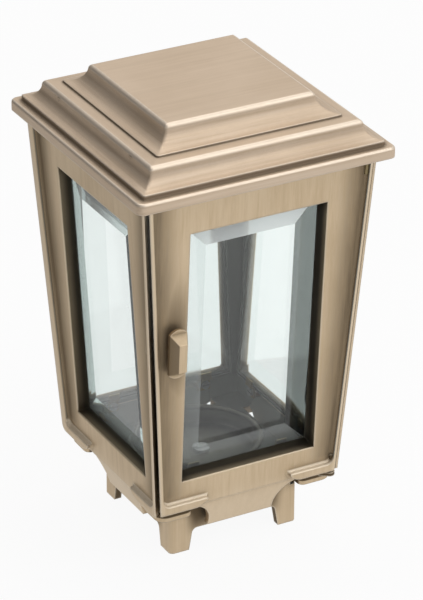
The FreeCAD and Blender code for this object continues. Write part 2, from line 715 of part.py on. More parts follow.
def base():
    """The floor plate with its four corner ledges, the skirt below it and the four bracket feet."""
    half = LEDGE_WIDTH / 2
    plate = block((-half, half), (-half, half), (LEDGE_TOP - LEDGE_THICKNESS, LEDGE_TOP))
    for turns in (FRONT, RIGHT, REAR, LEFT):
        vent = block((-VENT_LENGTH / 2, VENT_LENGTH / 2), (-half - OVERRUN, -VENT_INNER_WIDTH / 2),
                     (LEDGE_TOP - LEDGE_THICKNESS - OVERRUN, LEDGE_TOP + OVERRUN))
        plate = plate.cut(turned(vent, turns))
    for radius, reach in ((LEDGE_CORNER_RADIUS, 2 * half), (LEDGE_END_RADIUS, half + VENT_LENGTH / 2)):
        plate = plate.makeFillet(radius, [edge for edge in plate.Edges
                                          if abs(edge.BoundBox.ZLength - LEDGE_THICKNESS) < NEAR
                                          and abs(spread(edge.CenterOfMass) - reach) < NEAR])
    outline = [edge for edge in plate.Edges if edge.BoundBox.ZLength < NEAR
               and spread(edge.CenterOfMass) > half + LEDGE_CORNER_RADIUS
               and farthest(edge.CenterOfMass) > VENT_INNER_WIDTH / 2 + NEAR]
    plate = plate.makeFillet(LEDGE_EDGE_RADIUS, outline)
    outer = FOOT_SPREAD / 2
    inner = outer - SKIRT_WALL
    skirt_top = LEDGE_TOP - LEDGE_THICKNESS
    skirt = block((-outer, outer), (-outer, outer), (0, skirt_top + LEDGE_THICKNESS / 2))
    skirt = skirt.cut(block((-inner, inner), (-inner, inner), (-OVERRUN, skirt_top)))
    ground, head = outer - FOOT_GROUND_WIDTH, outer - FOOT_HEAD_WIDTH
    slope = (ground - head) / SKIRT_BOTTOM
    y = -outer - OVERRUN
    points = [V(-ground - slope * OVERRUN, y, -OVERRUN), V(ground + slope * OVERRUN, y, -OVERRUN),
              V(head, y, SKIRT_BOTTOM), V(-head, y, SKIRT_BOTTOM)]
    gap = prism(points, Y * (2 * outer + 2 * OVERRUN))
    gap = gap.makeFillet(FOOT_SHOULDER_RADIUS, [edge for edge in gap.Edges if edge.BoundBox.YLength > outer
                                                and edge.CenterOfMass.z > SKIRT_BOTTOM - NEAR])
    skirt = skirt.cut(gap).cut(turned(gap, RIGHT))
    outer_corners = [edge for edge in skirt.Edges if edge.BoundBox.ZLength > SKIRT_BOTTOM
                     and abs(edge.CenterOfMass.x) > inner + SKIRT_WALL / 2]
    skirt = skirt.makeFillet(FOOT_TOE_RADIUS, outer_corners)
    solid = fused([plate, skirt])
    for turns in (RIGHT, REAR, LEFT):
        for u, height in apron_boss_places():
            hole = rod(ROOF_SCREW_RADIUS + SCREW_PLAY, V(u, -outer - OVERRUN, height),
                       V(u, -inner + OVERRUN, height))
            solid = solid.cut(turned(hole, turns))
    hole = rod(DISH_SCREW_RADIUS + SCREW_PLAY, V(0, 0, 0), V(0, 0, LEDGE_TOP + OVERRUN))
    solid = solid.cut(hole).cut(pivot_plate_blank(PIVOT_PLATE_PLAY))
    for place in pivot_screw_places():
        solid = solid.cut(rod(CLIP_SCREW_RADIUS + SCREW_PLAY, place - Z * PIVOT_PLATE_THICKNESS,
                              place - Z * (LEDGE_THICKNESS + OVERRUN)))
    return solid


def pivot_plate_direction():
    """Level way from the hinge's lower end towards the middle of the lantern."""
    return V(-1, 1, 0).normalize()


def pivot_screw_places():
    """Tops of the two screws of the lower pivot plate."""
    eye = hinge_point(LEDGE_TOP)
    way = pivot_plate_direction()
    start = PIVOT_PLATE_LENGTH - PIVOT_SCREW_PITCH - PIVOT_PLATE_WIDTH / 2
    return [V(eye.x, eye.y, LEDGE_TOP) + way * (start + step * PIVOT_SCREW_PITCH) for step in (0, 1)]


def pivot_plate_blank(play):
    """The lower pivot plate's shape, let into the ledge's top, larger all round by a play."""
    eye = hinge_point(LEDGE_TOP)
    eye = V(eye.x, eye.y, LEDGE_TOP - PIVOT_PLATE_THICKNESS)
    way = pivot_plate_direction()
    across = V(way.y, -way.x, 0)
    half = PIVOT_PLATE_WIDTH / 2 + play
    end = eye + way * (PIVOT_PLATE_LENGTH + play)
    shoulder = eye + way * PIVOT_PLATE_WIDTH
    eye_radius = PIVOT_EYE_RADIUS + play
    points = [eye + across * eye_radius, shoulder + across * half, end + across * half, end - across * half,
              shoulder - across * half, eye - across * eye_radius]
    height = Z * (PIVOT_PLATE_THICKNESS + (OVERRUN if play else 0))
    return fused([prism(points, height), rod(eye_radius, eye, eye + height)])


def pivot_plate():
    """The small plate in the ledge that carries the door's lower pivot."""
    plate = pivot_plate_blank(0)
    below = LEDGE_TOP - PIVOT_PLATE_THICKNESS - OVERRUN
    plate = plate.cut(rod(PIN_RADIUS + PIN_PLAY, hinge_point(below), hinge_point(LEDGE_TOP + OVERRUN)))
    for place in pivot_screw_places():
        sink = PIVOT_PLATE_THICKNESS / 2
        plate = plate.cut(rod(CLIP_SCREW_RADIUS + SCREW_PLAY, place - Z * OVERRUN, place))
        plate = plate.cut(rod(CLIP_SCREW_HEAD_RADIUS + SCREW_PLAY, place - Z * sink, place + Z * sink))
    return plate


def pivot_screws():
    """The two sunk screws of the lower pivot plate."""
    sink = PIVOT_PLATE_THICKNESS / 2
    return [screw(CLIP_SCREW_RADIUS, CLIP_SCREW_LENGTH, CLIP_SCREW_HEAD_RADIUS, sink, place - Z * sink, -Z)
            for place in pivot_screw_places()]


def lower_pin():
    """The lower pivot: a round pin fast in the pivot plate, with the door turning on it."""
    return rod(PIN_RADIUS, hinge_point(LEDGE_TOP - PIVOT_PLATE_THICKNESS),
               hinge_point(DOOR_BOTTOM + PIN_IN_DOOR))


def upper_pin():
    """The upper pivot: a round pin fast in the door's head, turning in the roof."""
    return rod(PIN_RADIUS, hinge_point(DOOR_TOP - PIN_IN_DOOR), hinge_point(ROOF_UNDERSIDE + PIN_IN_ROOF))


def pivot_washer():
    """The washer between the pivot plate and the door's foot."""
    start, end = hinge_point(LEDGE_TOP), hinge_point(DOOR_BOTTOM)
    way = (end - start).normalize()
    tilt_room = PIVOT_WASHER_RADIUS * 2 * TAPER
    foot = start + way * tilt_room
    head = end - way * tilt_room
    ring = rod(PIVOT_WASHER_RADIUS, foot, head)
    return ring.cut(rod(PIN_RADIUS + PIN_PLAY, start - way * OVERRUN, end + way * OVERRUN))


def latch_middle(w):
    """A point on the latch's own axis, at a depth from the front face."""
    return V(-LATCH_FROM_MIDDLE, face_height(LATCH_HEIGHT), w)


def bush_flange_level():
    """Where the collar under the grip begins."""
    return -RIM_HEIGHT


def latch_grip():
    """The upright oblong grip: a plinth with arched ends under a hipped block, drawn flat."""
    middle = latch_middle(GRIP_STANDOFF)
    length, width = GRIP_LENGTH / 2, GRIP_WIDTH / 2
    shoulder = length - width / 2
    points = [V(-width, -shoulder, 0), V(width, -shoulder, 0), V(width, shoulder, 0), V(-width, shoulder, 0)]
    edges = [arc(points[0], V(0, -length, 0), points[1]), line(points[1], points[2]),
             arc(points[2], V(0, length, 0), points[3]), line(points[3], points[0])]
    plinth = outline_prism(edges, Z * GRIP_PLINTH)
    outlines = [[V(-half_x, -half_y, level), V(half_x, -half_y, level), V(half_x, half_y, level),
                 V(-half_x, half_y, level)]
                for half_x, half_y, level in ((width, shoulder, GRIP_PLINTH),
                                              (GRIP_FACE_WIDTH / 2, GRIP_FACE_LENGTH / 2,
                                               GRIP_PLINTH + GRIP_RISE))]
    grip = fused([plinth, flat_faced(outlines[0], outlines[1])])
    crown = [edge for edge in grip.Edges if edge.BoundBox.ZMax > GRIP_PLINTH + GRIP_RISE - NEAR]
    grip = grip.makeFillet(GRIP_ROUNDING, crown)
    grip.translate(middle)
    collar = rod(COLLAR_RADIUS, latch_middle(bush_flange_level() + COLLAR_PLAY), middle)
    grip = fused([grip, collar])
    hole = rod(SPINDLE_RADIUS + SPINDLE_PLAY, latch_middle(-RIM_HEIGHT - OVERRUN),
               latch_middle(GRIP_STANDOFF + SPINDLE_IN_GRIP))
    return grip.cut(hole)


def tongue_levels():
    """Depths of the tongue's two faces."""
    front = -BUSH_INNER_END - TONGUE_PLAY
    return front, front - TONGUE_THICKNESS


def latch_spindle():
    """The round spindle, squared at its inner end and tapped for the latch screw, drawn flat."""
    front, back = tongue_levels()
    round_part = rod(SPINDLE_RADIUS, latch_middle(front), latch_middle(GRIP_STANDOFF + SPINDLE_IN_GRIP))
    half = SPINDLE_SQUARE / 2
    centre = latch_middle(0)
    square = block((centre.x - half, centre.x + half), (centre.y - half, centre.y + half), (back, front))
    hole = rod(LATCH_SCREW_RADIUS + SCREW_PLAY, latch_middle(back - OVERRUN),
               latch_middle(back + LATCH_SCREW_LENGTH))
    return fused([round_part, square]).cut(hole)


def latch_bush():
    """The bush that lines the hole in the door's stile, drawn flat."""
    sleeve = rod(BUSH_RADIUS, latch_middle(-BUSH_INNER_END), latch_middle(bush_flange_level()))
    return sleeve.cut(rod(SPINDLE_RADIUS + SPINDLE_PLAY, latch_middle(-BUSH_INNER_END - OVERRUN),
                          latch_middle(OVERRUN)))


def latch_tongue():
    """The tongue behind the door, upright like the grip, drawn flat."""
    front, back = tongue_levels()
    centre = latch_middle(0)
    half = TONGUE_WIDTH / 2
    reach = TONGUE_REACH - half
    arm = block((centre.x - half, centre.x + half), (centre.y, centre.y + reach), (back, front))
    hub = rod(TONGUE_TAIL, latch_middle(back), latch_middle(front))
    tip_centre = V(centre.x, centre.y + reach, 0)
    tip = rod(half, tip_centre + Z * back, tip_centre + Z * front)
    square = SPINDLE_SQUARE / 2 + SPINDLE_PLAY
    hole = block((centre.x - square, centre.x + square), (centre.y - square, centre.y + square),
                 (back - OVERRUN, front + OVERRUN))
    return fused([arm, hub, tip]).cut(hole)


def latch_washer():
    """The washer between the tongue and the latch screw, drawn flat."""
    _, back = tongue_levels()
    ring = rod(LATCH_WASHER_RADIUS, latch_middle(back - LATCH_WASHER_THICKNESS), latch_middle(back))
    return ring.cut(rod(LATCH_SCREW_RADIUS + SCREW_PLAY, latch_middle(back - OVERRUN),
                        latch_middle(back + OVERRUN)))


def latch_screw():
    """The screw that holds the tongue on the spindle, drawn flat."""
    _, back = tongue_levels()
    return screw(LATCH_SCREW_RADIUS, LATCH_SCREW_LENGTH - SCREW_PLAY, LATCH_SCREW_HEAD_RADIUS,
                 LATCH_SCREW_HEAD_HEIGHT, latch_middle(back - LATCH_WASHER_THICKNESS), Z)


def keeper_pocket():
    """The pocket in the left panel that the turned tongue swings into, drawn flat on the front face."""
    front, back = tongue_levels()
    centre = latch_middle(0)
    inner = half_width(LATCH_HEIGHT) - inset(WALL_DEPTH)
    return block((-inner - KEEPER_DEPTH, -inner + OVERRUN),
                 (centre.y - TONGUE_WIDTH / 2 - KEEPER_PLAY, centre.y + KEEPER_ABOVE),
                 (back - KEEPER_PLAY, front + KEEPER_PLAY))


def door_frame():
    """The door: a wall with deeper window ribs, holes for both pivots and the latch bush."""
    frame = face_plate(DOOR_BOTTOM, DOOR_TOP, DOOR_SLOT_INSET, 0, DOOR_REVEAL, heel=True)
    bore = rod(BUSH_RADIUS, latch_middle(-BUSH_INNER_END - OVERRUN), latch_middle(OVERRUN))
    return frame.cut(on_face(bore, FRONT))


def left_panel():
    """The fixed wall on the latch side, open at its front mitre and pocketed for the tongue."""
    panel = turned(fixed_panel(0, NOSE_SLOT_INSET), LEFT)
    return panel.cut(on_face(keeper_pocket(), FRONT))


def right_panel():
    """The fixed wall on the hinge side, with a thin lip beside the door's turning edge."""
    panel = turned(fixed_panel(left_rim_extra=HINGE_LIP_SETBACK), RIGHT)
    front = beside_right_edge((-OVERRUN, FOOT_SPREAD / 2), (-HINGE_LIP_SETBACK, OVERRUN))
    door_room = beside_right_edge((HINGE_LIP, FOOT_SPREAD / 2), (-WALL_DEPTH - HINGE_RUNNING_GAP, OVERRUN))
    return panel.cut(front).cut(door_room)


def base_screws():
    """The six screws through the skirt into the aprons' bosses."""
    inner = FOOT_SPREAD / 2 - SKIRT_WALL
    shapes = []
    for turns in (RIGHT, REAR, LEFT):
        for u, height in apron_boss_places():
            one = screw(ROOF_SCREW_RADIUS, SKIRT_WALL + base_screw_bite(), ROOF_SCREW_HEAD_RADIUS,
                        ROOF_SCREW_HEAD_HEIGHT, V(u, -inner, height), -Y)
            shapes.append(turned(one, turns))
    return shapes


def roof_screws():
    """The six screws through the panels' lugs into the roof."""
    shapes = []
    for turns in (RIGHT, REAR, LEFT):
        for u, y in lug_screw_places():
            one = screw(ROOF_SCREW_RADIUS, ROOF_SCREW_LENGTH, ROOF_SCREW_HEAD_RADIUS, ROOF_SCREW_HEAD_HEIGHT,
                        V(u, y, ROOF_UNDERSIDE - LUG_HEIGHT), Z)
            shapes.append(turned(one, turns))
    return shapes


def candle_dish():
    """The round dish that holds the grave candle, spun from sheet with a beaded rim."""
    floor = LEDGE_TOP
    rim = floor + DISH_HEIGHT
    inner_floor = DISH_FLOOR_RADIUS - DISH_WALL
    points = [V(0, 0, floor), V(DISH_FLOOR_RADIUS, 0, floor), V(DISH_RADIUS, 0, rim),
              V(DISH_RADIUS - DISH_WALL, 0, rim), V(inner_floor, 0, floor + DISH_WALL),
              V(0, 0, floor + DISH_WALL)]
    dish = Part.Face(Part.makePolygon(points + points[:1])).revolve(V(0, 0, 0), Z, 360)
    bead = Part.makeTorus(DISH_RADIUS - DISH_WALL / 2, DISH_BEAD_RADIUS, V(0, 0, rim), Z)
    dish = fused([Part.Solid(dish) if dish.ShapeType == "Shell" else dish, bead])
    return dish.cut(rod(DISH_SCREW_RADIUS + SCREW_PLAY, V(0, 0, floor - OVERRUN), V(0, 0, floor + OVERRUN)))


def dish_screw():
    """The screw that holds the dish on the floor plate."""
    length = DISH_WALL + LEDGE_THICKNESS + DISH_NUT_HEIGHT + DISH_SCREW_STICKS_OUT
    return screw(DISH_SCREW_RADIUS, length, DISH_SCREW_HEAD_RADIUS, DISH_SCREW_HEAD_HEIGHT,
                 V(0, 0, LEDGE_TOP + DISH_WALL), -Z)


def dish_nut():
    """The hexagon nut under the floor plate."""
    corner = DISH_NUT_ACROSS_FLATS / 2 / math.cos(math.radians(30))
    top = LEDGE_TOP - LEDGE_THICKNESS
    points = [V(corner * math.cos(math.radians(60 * step)), corner * math.sin(math.radians(60 * step)), top)
              for step in range(6)]
    nut = prism(points, Z * -DISH_NUT_HEIGHT)
    return nut.cut(rod(DISH_SCREW_RADIUS + SCREW_PLAY, V(0, 0, top - DISH_NUT_HEIGHT - OVERRUN),
                       V(0, 0, top + OVERRUN)))


def nodes():
    """Every piece of the lantern under its own name."""
    pieces = {
        "roof": roof(),
        "roof_screws": group(roof_screws()),
        "base_casting": base(),
        "base_screws": group(base_screws()),
        "left_panel": left_panel(),
        "right_panel": right_panel(),
        "rear_panel": turned(fixed_panel(), REAR),
        "door_frame": door_frame(),
        "upper_hinge_pin": upper_pin(),
        "lower_hinge_pin": lower_pin(),
        "lower_pivot_plate": pivot_plate(),
        "pivot_plate_screws": group(pivot_screws()),
        "pivot_washer": pivot_washer(),
        "candle_dish": candle_dish(),
        "dish_screw": dish_screw(),
        "dish_nut": dish_nut(),
    }
    for name, shape in (("latch_grip", latch_grip()), ("latch_spindle", latch_spindle()),
                        ("latch_bush", latch_bush()), ("latch_tongue", latch_tongue()),
                        ("latch_washer", latch_washer()), ("latch_screw", latch_screw())):
        pieces[name] = on_face(shape, FRONT)
    for name, turns, reveal in (("door", FRONT, DOOR_REVEAL), ("left", LEFT, SIDE_REVEAL),
                                ("right", RIGHT, SIDE_REVEAL), ("rear", REAR, SIDE_REVEAL)):
        pieces[name + "_glass"] = on_face(pane(reveal), turns)
        pieces[name + "_glass_clips"] = on_face(group(clips(reveal)), turns)
        pieces[name + "_clip_screws"] = on_face(group(clip_screws(reveal)), turns)
    return pieces


os.makedirs("parts", exist_ok=True)
for node, solid in nodes().items():
    solid.exportStep(os.path.join("parts", node + ".step"))
    print(node, len(solid.Solids), solid.isValid(), round(solid.Volume, 1))
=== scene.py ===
"""Looks of a cast bronze grave lantern with a hinged glazed door, in a plain pale studio."""
import logging
import math
from dataclasses import dataclass, field
from enum import Enum

import bpy
from mathutils import Matrix, Vector

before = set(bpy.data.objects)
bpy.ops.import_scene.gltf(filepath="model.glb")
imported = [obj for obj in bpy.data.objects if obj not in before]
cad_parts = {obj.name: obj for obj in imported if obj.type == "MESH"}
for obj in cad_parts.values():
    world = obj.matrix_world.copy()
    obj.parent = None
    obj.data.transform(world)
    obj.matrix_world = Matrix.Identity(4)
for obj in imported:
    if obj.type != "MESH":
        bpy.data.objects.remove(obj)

LOG = logging.getLogger("grave_lantern")
MM = 0.001
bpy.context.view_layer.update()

Colour = tuple[float, float, float]
Direction = tuple[float, float, float]
LEVEL: Direction = (1.0, 1.0, 0.0)
WHITE: Colour = (1.0, 1.0, 1.0)

# The Mix node's sockets for colours.
MIX_SHARE, MIX_FIRST, MIX_SECOND = 0, 6, 7
MIX_RESULT = 2


def linear(red: int, green: int, blue: int) -> Colour:
    """Turn a colour as it is seen on screen into the linear colour that a shader takes.

    Args:
        red: Red, 0 to 255.
        green: Green, 0 to 255.
        blue: Blue, 0 to 255.

    Returns:
        The same colour in linear light.
    """
    def one(level: float) -> float:
        """Return one channel in linear light."""
        return level / 12.92 if level <= 0.04045 else ((level + 0.055) / 1.055) ** 2.4

    return one(red / 255), one(green / 255), one(blue / 255)


def rgba(colour: Colour) -> tuple[float, float, float, float]:
    """Give a colour full opacity.

    Args:
        colour: The colour.

    Returns:
        Its red, green, blue and opacity.
    """
    return (*colour, 1.0)


class Wire:
    """A number that a shader works out, with the usual arithmetic."""

    def __init__(self, sheet: "ShaderSheet", socket: bpy.types.NodeSocket) -> None:
        """Wrap one output socket.

        Args:
            sheet: The nodes that it belongs to.
            socket: The socket.
        """
        self.sheet = sheet
        self.socket = socket

    def maths(self, operation: str, *terms: "Wire | float") -> "Wire":
        """Add a Math node.

        Args:
            operation: The node's operation.
            terms: What goes into its sockets, in order.

        Returns:
            The node's result.
        """
        node = self.sheet.node("ShaderNodeMath", {"operation": operation}, *terms)
        return Wire(self.sheet, node.outputs[0])

    def __add__(self, other: "Wire | float") -> "Wire":
        """Return the sum."""
        return self.maths("ADD", self, other)

    def __sub__(self, other: "Wire | float") -> "Wire":
        """Return the difference."""
        return self.maths("SUBTRACT", self, other)

    def __rsub__(self, other: "Wire | float") -> "Wire":
        """Return the difference from a number in front."""
        return self.maths("SUBTRACT", other, self)

    def __mul__(self, other: "Wire | float") -> "Wire":
        """Return the product."""
        return self.maths("MULTIPLY", self, other)

    def __truediv__(self, other: "Wire | float") -> "Wire":
        """Return the quotient."""
        return self.maths("DIVIDE", self, other)

    def __pow__(self, other: "Wire | float") -> "Wire":
        """Return the power."""
        return self.maths("POWER", self, other)

    __radd__ = __add__
    __rmul__ = __mul__

    def absolute(self) -> "Wire":
        """Return the value without its sign."""
        return self.maths("ABSOLUTE", self)

    def highest(self, other: "Wire | float") -> "Wire":
        """Compare two values.

        Args:
            other: The other value.

        Returns:
            The larger of the two.
        """
        return self.maths("MAXIMUM", self, other)

    def lowest(self, other: "Wire | float") -> "Wire":
        """Compare two values.

        Args:
            other: The other value.

        Returns:
            The smaller of the two.
        """
        return self.maths("MINIMUM", self, other)

    def eased(self, low: float, high: float) -> "Wire":
        """Step softly from 0 at one value to 1 at another.

        Args:
            low: The value that gives 0.
            high: The value that gives 1, which may be the smaller of the two.

        Returns:
            The share between 0 and 1.
        """
        settings = {"interpolation_type": "SMOOTHSTEP"}
        if low <= high:
            node = self.sheet.node("ShaderNodeMapRange", settings, self, low, high, 0.0, 1.0)
        else:
            node = self.sheet.node("ShaderNodeMapRange", settings, self, high, low, 1.0, 0.0)
        return Wire(self.sheet, node.outputs[0])


@dataclass(frozen=True)
class Step:
    """A soft step from nothing at one value to its full strength at another."""

    start: float
    full: float
    strength: float = 1.0

    def of(self, value: Wire) -> Wire:
        """Take the step at a value.

        Args:
            value: The value.

        Returns:
            The share, between 0 and the step's strength.
        """
        share = value.eased(self.start, self.full)
        return share if self.strength == 1.0 else share * self.strength


class ShaderSheet:
    """A material's or world's node tree, with one way to add a node."""

    def __init__(self, tree: bpy.types.NodeTree) -> None:
        """Start from an empty tree.

        Args:
            tree: The material's or world's tree, which is emptied.
        """
        self.tree = tree
        tree.nodes.clear()

    def plug(self, socket: bpy.types.NodeSocket, value: object) -> None:
        """Set a socket to a number or colour, or link it.

        Args:
            socket: The input socket.
            value: A number, colour, vector, Wire or output socket; None leaves it as it is.
        """
        if isinstance(value, Wire):
            self.tree.links.new(value.socket, socket)
        elif isinstance(value, bpy.types.NodeSocket):
            self.tree.links.new(value, socket)
        elif value is not None:
            socket.default_value = value

    def node(self, kind: str, settings: dict | None = None, *values: object,
             **named: object) -> bpy.types.Node:
        """Add a node of any kind.

        Args:
            kind: The node's type.
            settings: What is set on the node before its sockets.
            values: What goes into its sockets, in order.
            named: What goes into sockets by name, with _ for a space.

        Returns:
            The node.
        """
        node = self.tree.nodes.new(kind)
        for name, value in (settings or {}).items():
            setattr(node, name, value)
        for socket, value in zip(node.inputs, values):
            self.plug(socket, value)
        for name, value in named.items():
            self.plug(node.inputs[name.replace("_", " ")], value)
        return node

    def blended(self, share: object, first: object, second: object) -> bpy.types.NodeSocket:
        """Mix two colours.

        Args:
            share: How much of the second.
            first: The first colour.
            second: The second colour.

        Returns:
            The mixed colour.
        """
        node = self.node("ShaderNodeMix", {"data_type": "RGBA", "blend_type": "MIX"})
        self.plug(node.inputs[MIX_SHARE], share)
        self.plug(node.inputs[MIX_FIRST], rgba(first) if isinstance(first, tuple) else first)
        self.plug(node.inputs[MIX_SECOND], rgba(second) if isinstance(second, tuple) else second)
        return node.outputs[MIX_RESULT]

    def vectors(self, operation: str, first: object, second: object = None) -> bpy.types.Node:
        """Add a Vector Math node.

        Args:
            operation: The node's operation.
            first: The first vector.
            second: The second vector, where the operation takes one.

        Returns:
            The node.
        """
        return self.node("ShaderNodeVectorMath", {"operation": operation}, first, second)

    def length(self, vector: object) -> Wire:
        """Measure a vector.

        Args:
            vector: The vector.

        Returns:
            Its length.
        """
        return Wire(self, self.vectors("LENGTH", vector).outputs[1])

    def dot(self, first: object, second: object) -> Wire:
        """Multiply two vectors into a number.

        Args:
            first: The first vector.
            second: The second vector.

        Returns:
            Their dot product.
        """
        return Wire(self, self.vectors("DOT_PRODUCT", first, second).outputs[1])

    def stretched(self, vector: object, spread: object) -> bpy.types.NodeSocket:
        """Stretch a vector.

        Args:
            vector: The vector.
            spread: The factor on each axis.

        Returns:
            The stretched vector.
        """
        return self.vectors("MULTIPLY", vector, spread).outputs[0]

    def split(self, vector: object) -> tuple[Wire, Wire, Wire]:
        """Take a vector apart.

        Args:
            vector: The vector.

        Returns:
            Its three parts.
        """
        axes = self.node("ShaderNodeSeparateXYZ", None, vector).outputs
        return Wire(self, axes[0]), Wire(self, axes[1]), Wire(self, axes[2])

    def noise(self, place: object, scale: float, detail: float, rough: float) -> Wire:
        """Add a noise pattern.

        Args:
            place: The coordinates it is laid on.
            scale: Lumps in a metre of those coordinates.
            detail: Octaves.
            rough: How strong the finer octaves are.

        Returns:
            The pattern, about 0.5.
        """
        node = self.node("ShaderNodeTexNoise", None, Vector=place, Scale=scale,
                         Detail=detail, Roughness=rough)
        return Wire(self, node.outputs[0])


class Point:
    """A shaded point of a piece: its place and its face's direction, in the piece's own frame."""

    def __init__(self, sheet: ShaderSheet) -> None:
        """Read the point's place and direction.

        Args:
            sheet: The material's nodes.
        """
        coordinates = sheet.node("ShaderNodeTexCoord")
        self.sheet = sheet
        self.place = coordinates.outputs["Object"]
        self.normal = coordinates.outputs["Normal"]
        self.east, self.north, self.height = sheet.split(self.place)
        self.eastward, self.northward, self.upward = sheet.split(self.normal)
        self.outer = self.east.absolute().highest(self.north.absolute())
        self.aside = self.east.absolute().lowest(self.north.absolute())

    def facing(self, direction: object) -> Wire:
        """Compare the face's direction with another one.

        Args:
            direction: A vector of any length.

        Returns:
            1 where the face looks along it, -1 where it looks against it.
        """
        unit = self.sheet.vectors("NORMALIZE", direction).outputs[0]
        return self.sheet.dot(self.normal, unit)


# The lantern's measures, which the finishes follow.
WALL_FOOT = 33.0 * MM
WALL_FOOT_HALF = 52.2 * MM
WALL_SLOPE = 11.5 / 178.0
RIM_DEPTH = 2.6 * MM
WINDOW_LOW = 49.8 * MM
ROOF_TOP = 240.0 * MM
LOWER_TIER_TOP = 228.5 * MM
FLANGE_TOP = 216.5 * MM
LEDGE_REACH = 49.5 * MM
SKIRT_REACH = 36.25 * MM
APRON_LOW = 16.0 * MM
APRON_HALF_LOW = 18.25 * MM
APRON_RISE = 16.6 * MM
APRON_SPREAD = 11.25 * MM
APRON_FLARE = 1.6
HALO_MIDDLE: Direction = (-44.5 * MM, 0.0, 131.0 * MM)
HALO_HALF_WIDTH = 13.0 * MM
HALO_HALF_HEIGHT = 48.0 * MM

# Patterns of the metal: marks or lumps in a metre, octaves and the finer octaves' strength.
CLOUDS = (24.0, 3.0, 0.5)
GRIT = (2600.0, 2.0, 0.6)
STREAK_SCALE = 420.0
MARK_SCALE = 1900.0
MARK_DETAIL = 3.0
MARK_FINENESS = 0.65
MARK_RUN = 0.02
UNBRUSHED_SCALE = 0.5
PATTERN_MIDDLE = 0.5
BEVEL_SAMPLES = 8
FINE_SAMPLES = 8
BROAD_SAMPLES = 12

# How the patterns tint the bare metal.
CLOUD_TONE = Step(0.25, 0.75, 0.25)
STREAK_PALE = Step(0.45, 0.72)
STREAK_DEEP = Step(0.52, 0.28)
MARK_PALE = Step(0.4, 0.7, 0.16)
CALM_TOP = Step(0.94, 0.995, 0.65)

# Worn edges, and the roof's shoulders, which are lighter from wear and from painted highlight.
EDGE_BEND = Step(0.01, 0.16)
EDGE_OPEN = Step(0.3, 0.08)
WEAR_LEAST = 0.7
WEAR_CLOUDS = Step(0.3, 0.6, 0.3)
WEAR_TONE = 0.6
SHOULDER_TURNED = Step(0.15, 0.5)
SHOULDER_ROUND = Step(0.999, 0.96)
SHOULDER_BELOW = Step(-3.2 * MM, -1.6 * MM)
SHOULDER_ABOVE = Step(0.5 * MM, 0.1 * MM)

# Patina in hollows; painted shade beside the rims and on the grip's side facets; patina and
# painted shade round the grip.
TIGHT_PATINA = Step(0.2, 0.7)
SOIL_EVEN, SOIL_STREAKED = 0.85, 0.5
FIELD_EVEN, FIELD_STREAKED = 0.8, 0.8
FIELD_DEPTH = Step(RIM_DEPTH - 1.4 * MM, RIM_DEPTH - 0.3 * MM)
FIELD_BESIDE = Step(22.0 * MM, 5.0 * MM, 0.74)
FIELD_ABOVE = Step(36.0 * MM, 44.0 * MM)
HALO = Step(1.0, 0.2, 0.62)
FACET_ASIDE = Step(0.93, 0.75, 0.55)
FACET_BELOW = Step(0.6, 0.2)

# The paler rims and apron of a wall, and the painted highlight on its lips.
RIM_FRONT = Step(1.2 * MM, 0.3 * MM)
RIM_BESIDE = Step(6.0 * MM, 4.0 * MM, 0.5)
APRON_PALE = Step(42.0 * MM, 26.0 * MM, 0.45)
LIP_TURNED = Step(0.05, 0.4, 0.8)
LIP_BELOW = Step(WINDOW_LOW - 2.0 * MM, WINDOW_LOW - 4.0 * MM)

# What the ledges and aprons shade on the base casting.
APRON_BESIDE = Step(11.0 * MM, 3.0 * MM, 0.8)
GROUND_ABOVE = Step(4.0 * MM, 18.0 * MM)
LEDGE_BENEATH = Step(20.0 * MM, 28.0 * MM, 0.55)
SKIRT_FACE = Step(SKIRT_REACH + 2.0 * MM, SKIRT_REACH + 0.5 * MM)
FOOT_INWARD = Step(0.1, -0.3, 0.85)
SEAM_ABOVE = Step(WALL_FOOT - 2.7 * MM, WALL_FOOT - 2.1 * MM)
SEAM_OUTSIDE = Step(LEDGE_REACH - 2.5 * MM, LEDGE_REACH - 1.5 * MM, 0.9)

# Faces that look inwards or down, which get painted shade, and the darker reveals of the windows.
LOOKS_DOWN = Step(-0.4, -0.7)
LOOKS_UP = Step(0.4, 0.7)
LOOKS_INWARD = Step(-0.45, -0.7)
FLOOR_WITHIN = Step(47.5 * MM, 46.5 * MM)
REVEAL_MOUTH = Step(RIM_DEPTH + 0.3 * MM, RIM_DEPTH + 1.0 * MM, 0.6)
REVEAL_DEPTH = Step(RIM_DEPTH + 1.0 * MM, RIM_DEPTH + 5.5 * MM, 0.4)
REVEAL_ABOVE = Step(WINDOW_LOW - 3.0 * MM, WINDOW_LOW - 1.0 * MM)
REVEAL_TONE = linear(58, 53, 45)
REVEAL_STRENGTH = 0.94

# How the metal's roughness and relief follow its patterns.
METALLIC = 0.9
ROUGH_CLOUDS, ROUGH_STREAKS, ROUGH_MARKS = 0.1, 0.16, 0.1
ROUGH_WORN, ROUGH_PATINA = 0.08, 0.22
RELIEF_STREAKS, RELIEF_MARKS, RELIEF_GRIT = 0.5, 0.35, 0.3
RELIEF_STRENGTH = 0.16
RELIEF_DEPTH = 0.12 * MM

# The brush marks of the roof's flat top run one way; those of its tiers follow each side.
TOP_ABOVE = Step(ROOF_TOP - 1.0 * MM, ROOF_TOP - 0.4 * MM)
MITRE = Step(-0.3 * MM, 0.3 * MM)


class Brushing(Enum):
    """The way in which a piece's brush marks run."""

    UPRIGHT = "upright"
    MITRED = "mitred"
    NONE = "none"


class ShadedFaces(Enum):
    """Which faces of a casting get a darker, greyer tone as painted shade."""

    NOTHING = "nothing"
    WALL_INSIDE = "wall inside"
    FLOOR = "floor"
    UNDERSIDE = "underside"


@dataclass(frozen=True)
class Palette:
    """The colours of a metal, from its bare faces to its hollows and worn edges; its patina
    colour also paints shade, its rubbed colour also paints highlights, and its inside colour is
    painted shade.
    """

    body: Colour
    pale: Colour
    deep: Colour
    patina: Colour
    rubbed: Colour
    inside: Colour = (0.0, 0.0, 0.0)


